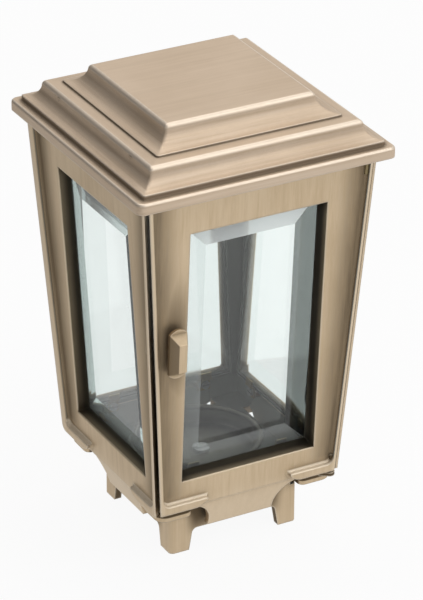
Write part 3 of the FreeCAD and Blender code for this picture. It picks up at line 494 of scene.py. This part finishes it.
@dataclass(frozen=True)
class Wear:
    """How far a metal's worn edges and its two kinds of hollow reach."""

    edge: float
    fine: float
    broad: float


CAST_WEAR = Wear(1.8 * MM, 2.5 * MM, 11.0 * MM)
GRIP_WEAR = Wear(0.6 * MM, 1.5 * MM, 4.0 * MM)
TURNED_WEAR = Wear(0.2 * MM, 0.8 * MM, 2.0 * MM)
SCREW_WEAR = Wear(0.15 * MM, 0.6 * MM, 1.5 * MM)


@dataclass(frozen=True)
class Patterns:
    """The noise patterns of a metal, each about 0.5."""

    clouds: Wire
    streaks: Wire
    marks: Wire
    grit: Wire


@dataclass(frozen=True)
class Metal:
    """A worked metal: brushed faces, rubbed edges, dark patina where no cloth reaches, and
    painted shade and highlights.
    """

    name: str
    palette: Palette
    roughness: float = 0.47
    brushing: Brushing = Brushing.UPRIGHT
    wear: Wear = CAST_WEAR
    soil: Step = Step(0.02, 0.3, 0.8)
    shoulders: tuple[float, ...] = ()
    streak: float = 0.25
    shaded_faces: ShadedFaces = ShadedFaces.NOTHING
    halo: bool = False
    facets: bool = False

    def material(self) -> bpy.types.Material:
        """Build the finish.

        Returns:
            The material.
        """
        made = bpy.data.materials.new(self.name)
        made.use_nodes = True
        sheet = ShaderSheet(made.node_tree)
        point = Point(sheet)
        patterns = Patterns(sheet.noise(point.place, *CLOUDS),
                            self.brush_marks(point, STREAK_SCALE),
                            self.brush_marks(point, MARK_SCALE),
                            sheet.noise(point.place, *GRIT))
        rounded = sheet.node("ShaderNodeBevel", {"samples": BEVEL_SAMPLES},
                             self.wear.edge).outputs[0]
        tight = self.closeness(sheet, FINE_SAMPLES, self.wear.fine)
        hollow = self.closeness(sheet, BROAD_SAMPLES, self.wear.broad)

        worn = self.wear_and_highlight_share(point, patterns, rounded, tight)
        dark = self.patina_and_shade_share(point, patterns, tight, hollow)
        # Patina in hollows and painted shade both take the patina colour.
        tone = sheet.blended(dark, self.bare_tone(point, patterns), self.palette.patina)
        if self.shaded_faces is ShadedFaces.WALL_INSIDE:
            # Paler raised rims, and paler towards the bottom of the wall.
            tone = sheet.blended(self.rim_and_apron_pale_share(point), tone, self.palette.pale)
            # Painted highlight on the upper side of the lips at the wall's lower corners.
            tone = sheet.blended(self.lip_highlight_share(point), tone, self.palette.rubbed)
        # Rubbed edges, and the roof's shoulders as wear and painted highlight, take the rubbed
        # colour.
        tone = sheet.blended(worn * WEAR_TONE, tone, self.palette.rubbed)
        dull = dark
        # Faces that look inward or down get a darker, greyer tone as painted shade.
        if self.shaded_faces is not ShadedFaces.NOTHING:
            inward_shade = self.inward_shade_share(point)
            tone = sheet.blended(inward_shade, tone, self.palette.inside)
            dull = dull.highest(inward_shade)
            if self.shaded_faces is ShadedFaces.WALL_INSIDE:
                reveal = self.reveal_share(point) * (1.0 - inward_shade)
                tone = sheet.blended(reveal * REVEAL_STRENGTH, tone, REVEAL_TONE)
                dull = dull.highest(reveal)

        surface = sheet.node("ShaderNodeBsdfPrincipled", None, Base_Color=tone,
                             Metallic=METALLIC, Roughness=self.rough(patterns, worn, dull),
                             Normal=self.relief(sheet, patterns, rounded))
        sheet.node("ShaderNodeOutputMaterial", None, surface.outputs[0])
        return made

    def brush_marks(self, point: Point, scale: float) -> Wire:
        """Lay parallel marks on the faces.

        Args:
            point: The shaded point.
            scale: Marks in a metre across their run.

        Returns:
            The marks, about 0.5.
        """
        sheet = point.sheet
        if self.brushing is Brushing.NONE:
            return sheet.noise(point.place, scale * UNBRUSHED_SCALE, MARK_DETAIL, MARK_FINENESS)

        def along(run: Direction) -> Wire:
            """Return marks that are drawn out along one axis."""
            drawn = sheet.stretched(point.place, run)
            return sheet.noise(drawn, scale, MARK_DETAIL, MARK_FINENESS)

        if self.brushing is Brushing.UPRIGHT:
            return along((1.0, 1.0, MARK_RUN))
        across = point.east.absolute() - point.north.absolute()
        beside = MITRE.of(across) * (1.0 - TOP_ABOVE.of(point.height))
        along_x, along_y = along((MARK_RUN, 1.0, 1.0)), along((1.0, MARK_RUN, 1.0))
        return along_x * (1.0 - beside) + along_y * beside

    @staticmethod
    def closeness(sheet: ShaderSheet, samples: int, reach: float) -> Wire:
        """Find how far a point is closed in by its own piece.

        Args:
            sheet: The material's nodes.
            samples: Rays for each point.
            reach: How far they look.

        Returns:
            The share, from 0 in the open to 1.
        """
        open_share = sheet.node("ShaderNodeAmbientOcclusion",
                                {"samples": samples, "only_local": True}, None, reach)
        return 1.0 - Wire(sheet, open_share.outputs["AO"])

    def bare_tone(self, point: Point, patterns: Patterns) -> bpy.types.NodeSocket:
        """Colour the brushed metal, before patina and wear.

        Args:
            point: The shaded point.
            patterns: The metal's patterns.

        Returns:
            The colour.
        """
        sheet, palette = point.sheet, self.palette
        streak = self.streak * (1.0 - CALM_TOP.of(point.upward))
        tone = sheet.blended(CLOUD_TONE.of(patterns.clouds), palette.body, palette.deep)
        tone = sheet.blended(STREAK_PALE.of(patterns.streaks) * streak, tone, palette.pale)
        tone = sheet.blended(STREAK_DEEP.of(patterns.streaks) * streak, tone, palette.deep)
        return sheet.blended(MARK_PALE.of(patterns.marks), tone, palette.pale)

    def wear_and_highlight_share(self, point: Point, patterns: Patterns, rounded: object, tight: Wire) -> Wire:
        """Find the edges that hands and cloths keep bright, and the roof's shoulders, which are
        lighter from wear and painted highlight.

        Args:
            point: The shaded point.
            patterns: The metal's patterns.
            rounded: The face's direction, rounded over the edges.
            tight: How far the point is closed in.

        Returns:
            The share, 0 on the faces.
        """
        sheet = point.sheet
        flat_face = sheet.node("ShaderNodeNewGeometry").outputs["Normal"]
        worn = EDGE_BEND.of(1.0 - sheet.dot(rounded, flat_face)) * EDGE_OPEN.of(tight)
        if self.shoulders:
            worn = worn.highest(self.shoulder_highlight_share(point))
        return worn * (WEAR_LEAST + WEAR_CLOUDS.of(patterns.clouds))

    def shoulder_highlight_share(self, point: Point) -> Wire:
        """Find the roof's rounded shoulders, lighter from wear and painted highlight.

        Args:
            point: The shaded point.

        Returns:
            1 on the shoulders, 0 elsewhere.
        """
        share: Wire | float = 0.0
        for level in self.shoulders:
            offset = point.height - level
            share = SHOULDER_BELOW.of(offset) * SHOULDER_ABOVE.of(offset) + share
        return share * SHOULDER_TURNED.of(point.upward) * SHOULDER_ROUND.of(point.upward)

    def patina_and_shade_share(self, point: Point, patterns: Patterns, tight: Wire, hollow: Wire) -> Wire:
        """Find what is dark with patina, and with painted shade.

        Args:
            point: The shaded point.
            patterns: The metal's patterns.
            tight: How far the point is closed in at close range.
            hollow: The same over a wider range.

        Returns:
            The share, about 0 on open faces.
        """
        streaked = patterns.streaks - PATTERN_MIDDLE
        soil = self.soil.of(hollow) * (SOIL_EVEN + SOIL_STREAKED * streaked)
        if self.shaded_faces is ShadedFaces.WALL_INSIDE:
            # Painted shade on the sunk face beside the rims, streaked like the metal.
            field_shade = self.field_shade_share(point) * (FIELD_EVEN + FIELD_STREAKED * streaked)
            soil = soil.highest(field_shade)
        dark = TIGHT_PATINA.of(tight).highest(soil)
        # Patina round the grip, and painted shade above and below it on the door's left stile.
        if self.halo:
            dark = dark.highest(self.halo_share(point))
        # Painted shade on the grip's side facets and underside.
        if self.facets:
            dark = dark.highest(self.facet_shade_share(point))
        if self.shaded_faces is ShadedFaces.FLOOR:
            dark = dark.highest(self.shaded_share(point))
        return dark

    def rough(self, patterns: Patterns, worn: Wire, dull: Wire) -> Wire:
        """Work out how rough the metal is.

        Args:
            patterns: The metal's patterns.
            worn: The share of worn metal.
            dull: The share of patina, painted shade and faces that look inward or down.

        Returns:
            The roughness.
        """
        rough = self.roughness + ROUGH_CLOUDS * (patterns.clouds - PATTERN_MIDDLE)
        rough = rough + ROUGH_STREAKS * (patterns.streaks - PATTERN_MIDDLE)
        rough = rough + ROUGH_MARKS * (patterns.marks - PATTERN_MIDDLE)
        return rough - ROUGH_WORN * worn + ROUGH_PATINA * dull

    @staticmethod
    def relief(sheet: ShaderSheet, patterns: Patterns, rounded: object) -> bpy.types.NodeSocket:
        """Raise the fine marks of the metal.

        Args:
            sheet: The material's nodes.
            patterns: The metal's patterns.
            rounded: The face's direction, rounded over the edges.

        Returns:
            The face's direction with its marks.
        """
        height = patterns.streaks * RELIEF_STREAKS + patterns.marks * RELIEF_MARKS
        height = height + patterns.grit * RELIEF_GRIT
        return sheet.node("ShaderNodeBump", None, Strength=RELIEF_STRENGTH,
                          Distance=RELIEF_DEPTH, Height=height, Normal=rounded).outputs[0]

    @staticmethod
    def wall_place(point: Point) -> tuple[Wire, Wire]:
        """Find where a point lies on a tapering wall.

        Args:
            point: The shaded point.

        Returns:
            How deep it lies behind the rims, and how far from the wall's side edge.
        """
        half_width = WALL_FOOT_HALF + WALL_SLOPE * (point.height - WALL_FOOT)
        return half_width - point.outer, half_width - point.aside

    def rim_and_apron_pale_share(self, point: Point) -> Wire:
        """Find the paler tone of a wall's rims and apron.

        Args:
            point: The shaded point.

        Returns:
            The share.
        """
        depth, side = self.wall_place(point)
        rim = RIM_FRONT.of(depth) * RIM_BESIDE.of(side)
        return rim.highest(APRON_PALE.of(point.height))

    def field_shade_share(self, point: Point) -> Wire:
        """Find the painted shade on the sunk face beside a wall's raised rims.

        Args:
            point: The shaded point.

        Returns:
            The share, which fades towards the window.
        """
        depth, side = self.wall_place(point)
        return FIELD_DEPTH.of(depth) * FIELD_BESIDE.of(side) * FIELD_ABOVE.of(point.height)

    @staticmethod
    def lip_highlight_share(point: Point) -> Wire:
        """Find the painted highlight on the upper side of the lips at a wall's lower corners.

        Args:
            point: The shaded point.

        Returns:
            The share, 0 elsewhere.
        """
        return LIP_TURNED.of(point.upward) * LIP_BELOW.of(point.height)

    @staticmethod
    def facet_shade_share(point: Point) -> Wire:
        """Find the painted shade on a grip's faces that look neither forward nor up.

        Args:
            point: The shaded point.

        Returns:
            The share, 0 on its front.
        """
        return FACET_ASIDE.of(0.0 - point.northward) * FACET_BELOW.of(point.upward)

    @staticmethod
    def shaded_share(point: Point) -> Wire:
        """Find what the ledges and aprons shade on the base casting.

        Args:
            point: The shaded point.

        Returns:
            The share, strongest in the corner between an apron and a ledge.
        """
        rise = ((point.height - APRON_LOW) / APRON_RISE).highest(0.0)
        border = APRON_HALF_LOW + APRON_SPREAD * rise ** APRON_FLARE
        beside = APRON_BESIDE.of(point.aside - border) * GROUND_ABOVE.of(point.height)
        skirt = beside.highest(LEDGE_BENEATH.of(point.height)) * SKIRT_FACE.of(point.outer)
        outward = point.facing(point.sheet.stretched(point.place, LEVEL))
        seam = SEAM_ABOVE.of(point.height) * SEAM_OUTSIDE.of(point.outer)
        return skirt.highest(FOOT_INWARD.of(outward)).highest(seam)

    @staticmethod
    def halo_share(point: Point) -> Wire:
        """Find the dark halo round the door's grip: patina at the grip, and painted shade above
        and below it on the door's left stile.

        Args:
            point: The shaded point.

        Returns:
            The share, strongest at the grip.
        """
        offset = point.sheet.vectors("SUBTRACT", point.place, HALO_MIDDLE).outputs[0]
        spread = (1.0 / HALO_HALF_WIDTH, 0.0, 1.0 / HALO_HALF_HEIGHT)
        return HALO.of(point.sheet.length(point.sheet.stretched(offset, spread)))

    def inward_shade_share(self, point: Point) -> Wire:
        """Find the faces that get painted shade: those that look inwards, down, or up inside the
        base.

        Args:
            point: The shaded point.

        Returns:
            1 on the faces with painted shade, 0 outside.
        """
        if self.shaded_faces is ShadedFaces.UNDERSIDE:
            return LOOKS_DOWN.of(point.upward)
        if self.shaded_faces is ShadedFaces.FLOOR:
            within = FLOOR_WITHIN.of(point.outer) * LOOKS_UP.of(point.upward)
            return within.highest(LOOKS_DOWN.of(point.upward))
        # Cubed, the place points along the axis of the wall that it is nearest to.
        squared = point.sheet.stretched(point.place, point.place)
        cubed = point.sheet.stretched(squared, point.place)
        return LOOKS_INWARD.of(point.facing(point.sheet.stretched(cubed, LEVEL)))

    def reveal_share(self, point: Point) -> Wire:
        """Find the window reveals of a tapering wall.

        Args:
            point: The shaded point.

        Returns:
            1 inside the windows, 0 on the faces.
        """
        depth, _ = self.wall_place(point)
        reveal = REVEAL_MOUTH.of(depth) + REVEAL_DEPTH.of(depth)
        return reveal * REVEAL_ABOVE.of(point.height)


# A pane's edges, its bevels by the direction of their faces, and the smears on it.
GLASS_IOR = 1.5
SMEARS = (30.0, 4.0, 0.6)
SMEARED = Step(0.5, 0.8, 0.02)
PANE_EDGE = Step(0.93, 0.8)
SIDE_BEVEL = Step(0.9965, 0.994)
HEAD_BEVEL = Step(0.0, 0.03)
OUTER_SIDE = Step(0.0, 10.0 * MM)
FAR_BEVEL = Step(0.06, 0.1)
FAR_SIDE = Step(0.0, 0.05)
SEEN_ASIDE = Step(0.22, 0.28, 0.95)
GLASS_ROUGH, GLASS_ROUGH_SMEARS, GLASS_ROUGH_BEVEL = 0.012, 0.02, 0.06
REFLECTION_ROUGH = 0.5
DOOR_OUTWARD: Direction = (0.0, -0.9979, -0.0645)


@dataclass(frozen=True)
class BevelledGlass:
    """Clear float glass with a less than clear bevel and a green edge; white mixed over the
    bevels is a painted reflection.

    A pane with an outward direction has its near bevels leaned back towards that direction.
    A pane with a shaded side has a far bevel that darkens when it is seen from aside.
    """

    name: str
    bevel_share: float
    outward: Direction | None = None
    near_lean: float = 1.0
    tint: float = 0.16
    shaded_side: bool = False
    head_share: float = 0.12
    clear: Colour = (0.95, 0.985, 0.975)
    edge: Colour = (0.45, 0.74, 0.68)
    reflection_white: Colour = (0.9, 0.95, 0.945)
    shade: Colour = linear(46, 52, 49)

    def material(self) -> bpy.types.Material:
        """Build the finish.

        Returns:
            The material.
        """
        made = bpy.data.materials.new(self.name)
        made.use_nodes = True
        sheet = ShaderSheet(made.node_tree)
        point = Point(sheet)
        smears = sheet.noise(point.place, *SMEARS)
        sideways = point.eastward.absolute().highest(point.northward.absolute())
        edge = PANE_EDGE.of(sideways)
        outside = OUTER_SIDE.of(sheet.dot(point.normal, sheet.stretched(point.place, LEVEL)))
        head = outside * HEAD_BEVEL.of(point.upward) * (1.0 - edge)
        bevel = (SIDE_BEVEL.of(sideways) * (1.0 - edge)).highest(head)
        tone = sheet.blended(bevel * self.tint, self.clear, self.edge)
        tone = sheet.blended(edge, tone, self.edge)
        # The white mixed over the bevels, strongest on the door pane's top bevel, is a painted
        # reflection.
        share = bevel * self.bevel_share + head * self.head_share
        if self.shaded_side:
            slant = sheet.node("ShaderNodeLayerWeight", None, Blend=0.5).outputs["Facing"]
            shaded = FAR_BEVEL.of(point.eastward) * (bevel - head)
            shaded = shaded * SEEN_ASIDE.of(Wire(sheet, slant))
            tone = sheet.blended(shaded, tone, self.shade)
            share = share * (1.0 - shaded)
        rough = GLASS_ROUGH + GLASS_ROUGH_SMEARS * smears + GLASS_ROUGH_BEVEL * bevel
        clear = sheet.node("ShaderNodeBsdfPrincipled", None, Base_Color=tone,
                           Roughness=rough, IOR=GLASS_IOR, Transmission_Weight=1.0,
                           Normal=self.leaned(point, bevel - head))
        # A white surface that stands in for the bevels' reflection of bright light.
        painted_reflection = sheet.node("ShaderNodeBsdfPrincipled", None, Base_Color=rgba(self.reflection_white),
                             Roughness=REFLECTION_ROUGH)
        surface = sheet.node("ShaderNodeMixShader", None, share + SMEARED.of(smears),
                             clear.outputs[0], painted_reflection.outputs[0])
        sheet.node("ShaderNodeOutputMaterial", None, surface.outputs[0])
        return made

    def leaned(self, point: Point, bevel: Wire) -> bpy.types.NodeSocket | None:
        """Lean the near bevels' faces, so that they bend the view as old, worn grinding does.

        Args:
            point: The shaded point.
            bevel: 1 on the bevels.

        Returns:
            The changed direction, or None if this pane keeps its own.
        """
        if self.outward is None:
            return None
        sheet = point.sheet
        tilt = sheet.vectors("SUBTRACT", point.normal, self.outward).outputs[0]
        away = FAR_SIDE.of(sheet.split(tilt)[0])
        gain = 1.0 - bevel * (1.0 - self.near_lean) * (1.0 - away)
        scaled = sheet.node("ShaderNodeVectorMath", {"operation": "SCALE"}, tilt, Scale=gain)
        summed = sheet.vectors("ADD", self.outward, scaled.outputs[0]).outputs[0]
        settings = {"vector_type": "NORMAL", "convert_from": "OBJECT", "convert_to": "WORLD"}
        return sheet.node("ShaderNodeVectorTransform", settings, summed).outputs[0]


INSIDE_SHADE_TONE = linear(156, 158, 152)
ROOF_BRONZE = Palette(body=linear(219, 198, 174), pale=linear(236, 220, 201),
                      deep=linear(182, 159, 131), patina=linear(86, 70, 50),
                      rubbed=linear(244, 231, 214), inside=INSIDE_SHADE_TONE)
WALL_BRONZE = Palette(body=linear(217, 195, 163), pale=linear(236, 218, 192),
                      deep=linear(182, 157, 122), patina=linear(84, 68, 46),
                      rubbed=linear(242, 228, 206), inside=INSIDE_SHADE_TONE)
DARK_BRASS = Palette(body=linear(100, 97, 88), pale=linear(134, 130, 118),
                     deep=linear(74, 72, 66), patina=linear(44, 43, 40),
                     rubbed=linear(176, 170, 156))
BRASS = Palette(body=linear(150, 134, 100), pale=linear(186, 170, 132),
                deep=linear(118, 104, 76), patina=linear(62, 56, 44),
                rubbed=linear(214, 198, 160))
STEEL = Palette(body=linear(160, 160, 158), pale=linear(190, 190, 188),
                deep=linear(124, 124, 122), patina=linear(60, 60, 60),
                rubbed=linear(222, 222, 220))


class Finishes:
    """Every finish of the lantern, built once."""

    def __init__(self) -> None:
        """Build the materials."""
        self.roof = Metal("cast_bronze_roof", ROOF_BRONZE, roughness=0.52, streak=0.4,
                          brushing=Brushing.MITRED, soil=Step(0.04, 0.32, 0.8),
                          shoulders=(ROOF_TOP, LOWER_TIER_TOP, FLANGE_TOP),
                          shaded_faces=ShadedFaces.UNDERSIDE).material()
        self.walls = Metal("cast_bronze_walls", WALL_BRONZE, shaded_faces=ShadedFaces.WALL_INSIDE).material()
        self.door = Metal("cast_bronze_door", WALL_BRONZE, shaded_faces=ShadedFaces.WALL_INSIDE,
                          halo=True).material()
        self.base = Metal("cast_bronze_base", WALL_BRONZE, shaded_faces=ShadedFaces.FLOOR).material()
        self.grip = Metal("cast_bronze_grip", WALL_BRONZE, wear=GRIP_WEAR, facets=True).material()
        self.dish = Metal("turned_brass_dish", DARK_BRASS, brushing=Brushing.NONE).material()
        self.fittings = Metal("turned_brass_fittings", BRASS, roughness=0.36,
                              brushing=Brushing.NONE, wear=TURNED_WEAR).material()
        self.screws = Metal("steel_screws", STEEL, roughness=0.34, brushing=Brushing.NONE,
                            wear=SCREW_WEAR).material()
        self.door_glass = BevelledGlass("bevelled_glass_door", bevel_share=0.2,
                                        outward=DOOR_OUTWARD, near_lean=0.1,
                                        shaded_side=True, head_share=0.5).material()
        self.left_glass = BevelledGlass("bevelled_glass_left", bevel_share=0.2,
                                        tint=0.5).material()
        self.far_glass = BevelledGlass("bevelled_glass_far", bevel_share=0.06).material()


class Casting:
    """Dresses the nodes of the solid model, whose shapes stay as they are."""

    def __init__(self, nodes: dict[str, bpy.types.Object]) -> None:
        """Keep the nodes.

        Args:
            nodes: The solid model's nodes by name.
        """
        self.nodes = nodes

    def dress(self, finish: bpy.types.Material, *names: str) -> None:
        """Give nodes a finish.

        Args:
            finish: The material.
            names: The nodes' names.
        """
        for name in names:
            node = self.nodes[name]
            for slot in node.material_slots:
                slot.material = finish
            if not node.material_slots:
                node.data.materials.append(finish)
            LOG.info("%s: %s", name, finish.name)


# The floor, as the eye and as the polished metal see it.
PAPER: Colour = (0.82, 0.82, 0.82)
FLOOR_SEEN = 0.93
FLOOR_MIRRORED = 0.9
FLOOR_GLOW = 0.87
GLOW_AWAY = Step(0.05, 0.35, 0.03)
GLOW_LEFT = Step(-0.05, 0.3, 0.29)
LEFT_NORTH = 0.5

# The room's light by direction.
ROOM_LEVEL = 0.3
ROOM_EAST = Step(-0.5, 0.4, 0.4)
ROOM_WEST = Step(0.0, -0.5, 0.2)
ROOM_LOW = Step(0.62, 0.36)
ROOM_OVERHEAD = Step(0.3, 0.8, 0.08)
ROOM_FRONT = Step(0.0, -0.5, 0.22)
ROOM_HIGH = Step(0.5, 0.8)


@dataclass(frozen=True)
class Lamp:
    """A soft square lamp: its place, the width of its face and its power in watts."""

    name: str
    place: tuple[float, float, float]
    width: float
    power: float


LAMPS = (
    Lamp("key_lamp", (1.1, -1.5, 1.9), 1.6, 10.0),
    Lamp("fill_lamp", (-1.6, -1.4, 0.8), 1.2, 3.0),
    Lamp("top_lamp", (0.3, 0.5, 2.1), 1.4, 8.0),
)


@dataclass
class Studio:
    """A pale floor, soft light and the camera."""

    floor_width: float = 6.0
    azimuth: float = -28.5691
    elevation: float = 27.3994
    roll: float = 0.2256
    distance: float = 1.78005
    target: Vector = field(default_factory=lambda: Vector((0.0047, -0.0031, 0.1191)))
    focal_pixels: float = 3566.0
    frame_height: float = 600.0
    sensor_width: float = 36.0

    @staticmethod
    def seen_share(sheet: ShaderSheet, path: bpy.types.Node) -> Wire:
        """Find what is seen directly or through glass, and not by its light.

        Args:
            sheet: The nodes.
            path: The Light Path node.

        Returns:
            1 for what is seen, 0 for what only lights or mirrors.
        """
        seen = Wire(sheet, path.outputs["Is Camera Ray"])
        return seen.highest(Wire(sheet, path.outputs["Is Transmission Ray"]))

    def floor(self) -> None:
        """Build the floor, white to the eye but for a soft shadow."""
        bpy.ops.object.select_all(action="DESELECT")
        bpy.ops.mesh.primitive_plane_add(size=self.floor_width, location=(0.0, 0.0, 0.0))
        plane = bpy.context.object
        plane.name = "studio_floor"
        made = bpy.data.materials.new("pale_floor")
        made.use_nodes = True
        sheet = ShaderSheet(made.node_tree)
        path = sheet.node("ShaderNodeLightPath")
        place = sheet.node("ShaderNodeTexCoord").outputs["Object"]
        east, north, _ = sheet.split(place)
        glow = FLOOR_GLOW + GLOW_AWAY.of(sheet.length(place))
        glow = glow - GLOW_LEFT.of(north * LEFT_NORTH - east)
        glossy = Wire(sheet, path.outputs["Is Glossy Ray"])
        seen = self.seen_share(sheet, path)
        paper = sheet.node("ShaderNodeBsdfDiffuse", None, rgba(PAPER))
        white = sheet.node("ShaderNodeEmission", None, rgba(WHITE), seen.highest(glossy * glow))
        share = (seen * FLOOR_SEEN).highest(glossy * FLOOR_MIRRORED)
        both = sheet.node("ShaderNodeMixShader", None, share, paper.outputs[0], white.outputs[0])
        sheet.node("ShaderNodeOutputMaterial", None, both.outputs[0])
        plane.data.materials.append(made)

    def world(self) -> None:
        """Light the room softly, and show white behind the lantern."""
        room = bpy.data.worlds.new("studio")
        bpy.context.scene.world = room
        room.use_nodes = True
        sheet = ShaderSheet(room.node_tree)
        path = sheet.node("ShaderNodeLightPath")
        ray = sheet.node("ShaderNodeTexCoord").outputs["Generated"]
        east, north, height = sheet.split(ray)
        level = ROOM_LEVEL + ROOM_EAST.of(east) - ROOM_WEST.of(east) * ROOM_LOW.of(height)
        level = level + ROOM_OVERHEAD.of(height) + ROOM_FRONT.of(north) * ROOM_HIGH.of(height)
        seen = self.seen_share(sheet, path)
        level = level * (1.0 - seen) + seen
        light = sheet.node("ShaderNodeBackground", None, rgba(WHITE), level)
        sheet.node("ShaderNodeOutputWorld", None, light.outputs[0])

    def hang(self, lamp: Lamp) -> None:
        """Hang a lamp that points at the lantern.

        Args:
            lamp: The lamp.
        """
        data = bpy.data.lights.new(lamp.name, "AREA")
        data.shape = "SQUARE"
        data.size = lamp.width
        data.energy = lamp.power
        hung = bpy.data.objects.new(lamp.name, data)
        place = Vector(lamp.place)
        hung.location = place
        hung.rotation_euler = (self.target - place).to_track_quat("-Z", "Y").to_euler()
        bpy.context.scene.collection.objects.link(hung)

    def camera(self) -> None:
        """Put the camera where the photograph was taken from."""
        turn, lift = math.radians(self.azimuth), math.radians(self.elevation)
        back = Vector((math.sin(turn) * math.cos(lift), -math.cos(turn) * math.cos(lift),
                       math.sin(lift)))
        right = (-back).cross(Vector((0.0, 0.0, 1.0))).normalized()
        upward = right.cross(-back)
        cosine, sine = math.cos(math.radians(self.roll)), math.sin(math.radians(self.roll))
        rolled_right = cosine * right + sine * upward
        rolled_up = cosine * upward - sine * right
        data = bpy.data.cameras.new("camera")
        data.sensor_width = self.sensor_width
        data.lens = self.focal_pixels / self.frame_height * data.sensor_width
        camera = bpy.data.objects.new("camera", data)
        turned = Matrix((rolled_right, rolled_up, back)).transposed().to_4x4()
        camera.matrix_world = Matrix.Translation(self.target + back * self.distance) @ turned
        bpy.context.scene.collection.objects.link(camera)
        bpy.context.scene.camera = camera

    def build(self) -> None:
        """Set up the whole studio."""
        bpy.context.scene.view_settings.view_transform = "Standard"
        self.world()
        self.floor()
        for lamp in LAMPS:
            self.hang(lamp)
        self.camera()


def main() -> None:
    """Dress the lantern and set up the studio."""
    logging.basicConfig(level=logging.INFO, format="%(message)s")
    finishes = Finishes()
    casting = Casting(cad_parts)
    casting.dress(finishes.roof, "roof")
    casting.dress(finishes.base, "base_casting", "lower_pivot_plate", "pivot_washer",
                  "lower_hinge_pin")
    casting.dress(finishes.walls, "left_panel", "right_panel", "rear_panel")
    casting.dress(finishes.door, "door_frame")
    casting.dress(finishes.grip, "latch_grip")
    casting.dress(finishes.dish, "candle_dish")
    casting.dress(finishes.fittings, "upper_hinge_pin", "dish_nut", "latch_spindle", "latch_bush",
                  "latch_tongue", "latch_washer", "door_glass_clips",
                  "left_glass_clips", "right_glass_clips", "rear_glass_clips")
    casting.dress(finishes.screws, "roof_screws", "base_screws", "pivot_plate_screws",
                  "dish_screw", "latch_screw", "door_clip_screws", "left_clip_screws",
                  "right_clip_screws", "rear_clip_screws")
    casting.dress(finishes.door_glass, "door_glass")
    casting.dress(finishes.left_glass, "left_glass")
    casting.dress(finishes.far_glass, "right_glass", "rear_glass")
    Studio().build()


if __name__ == "__main__":
    main()
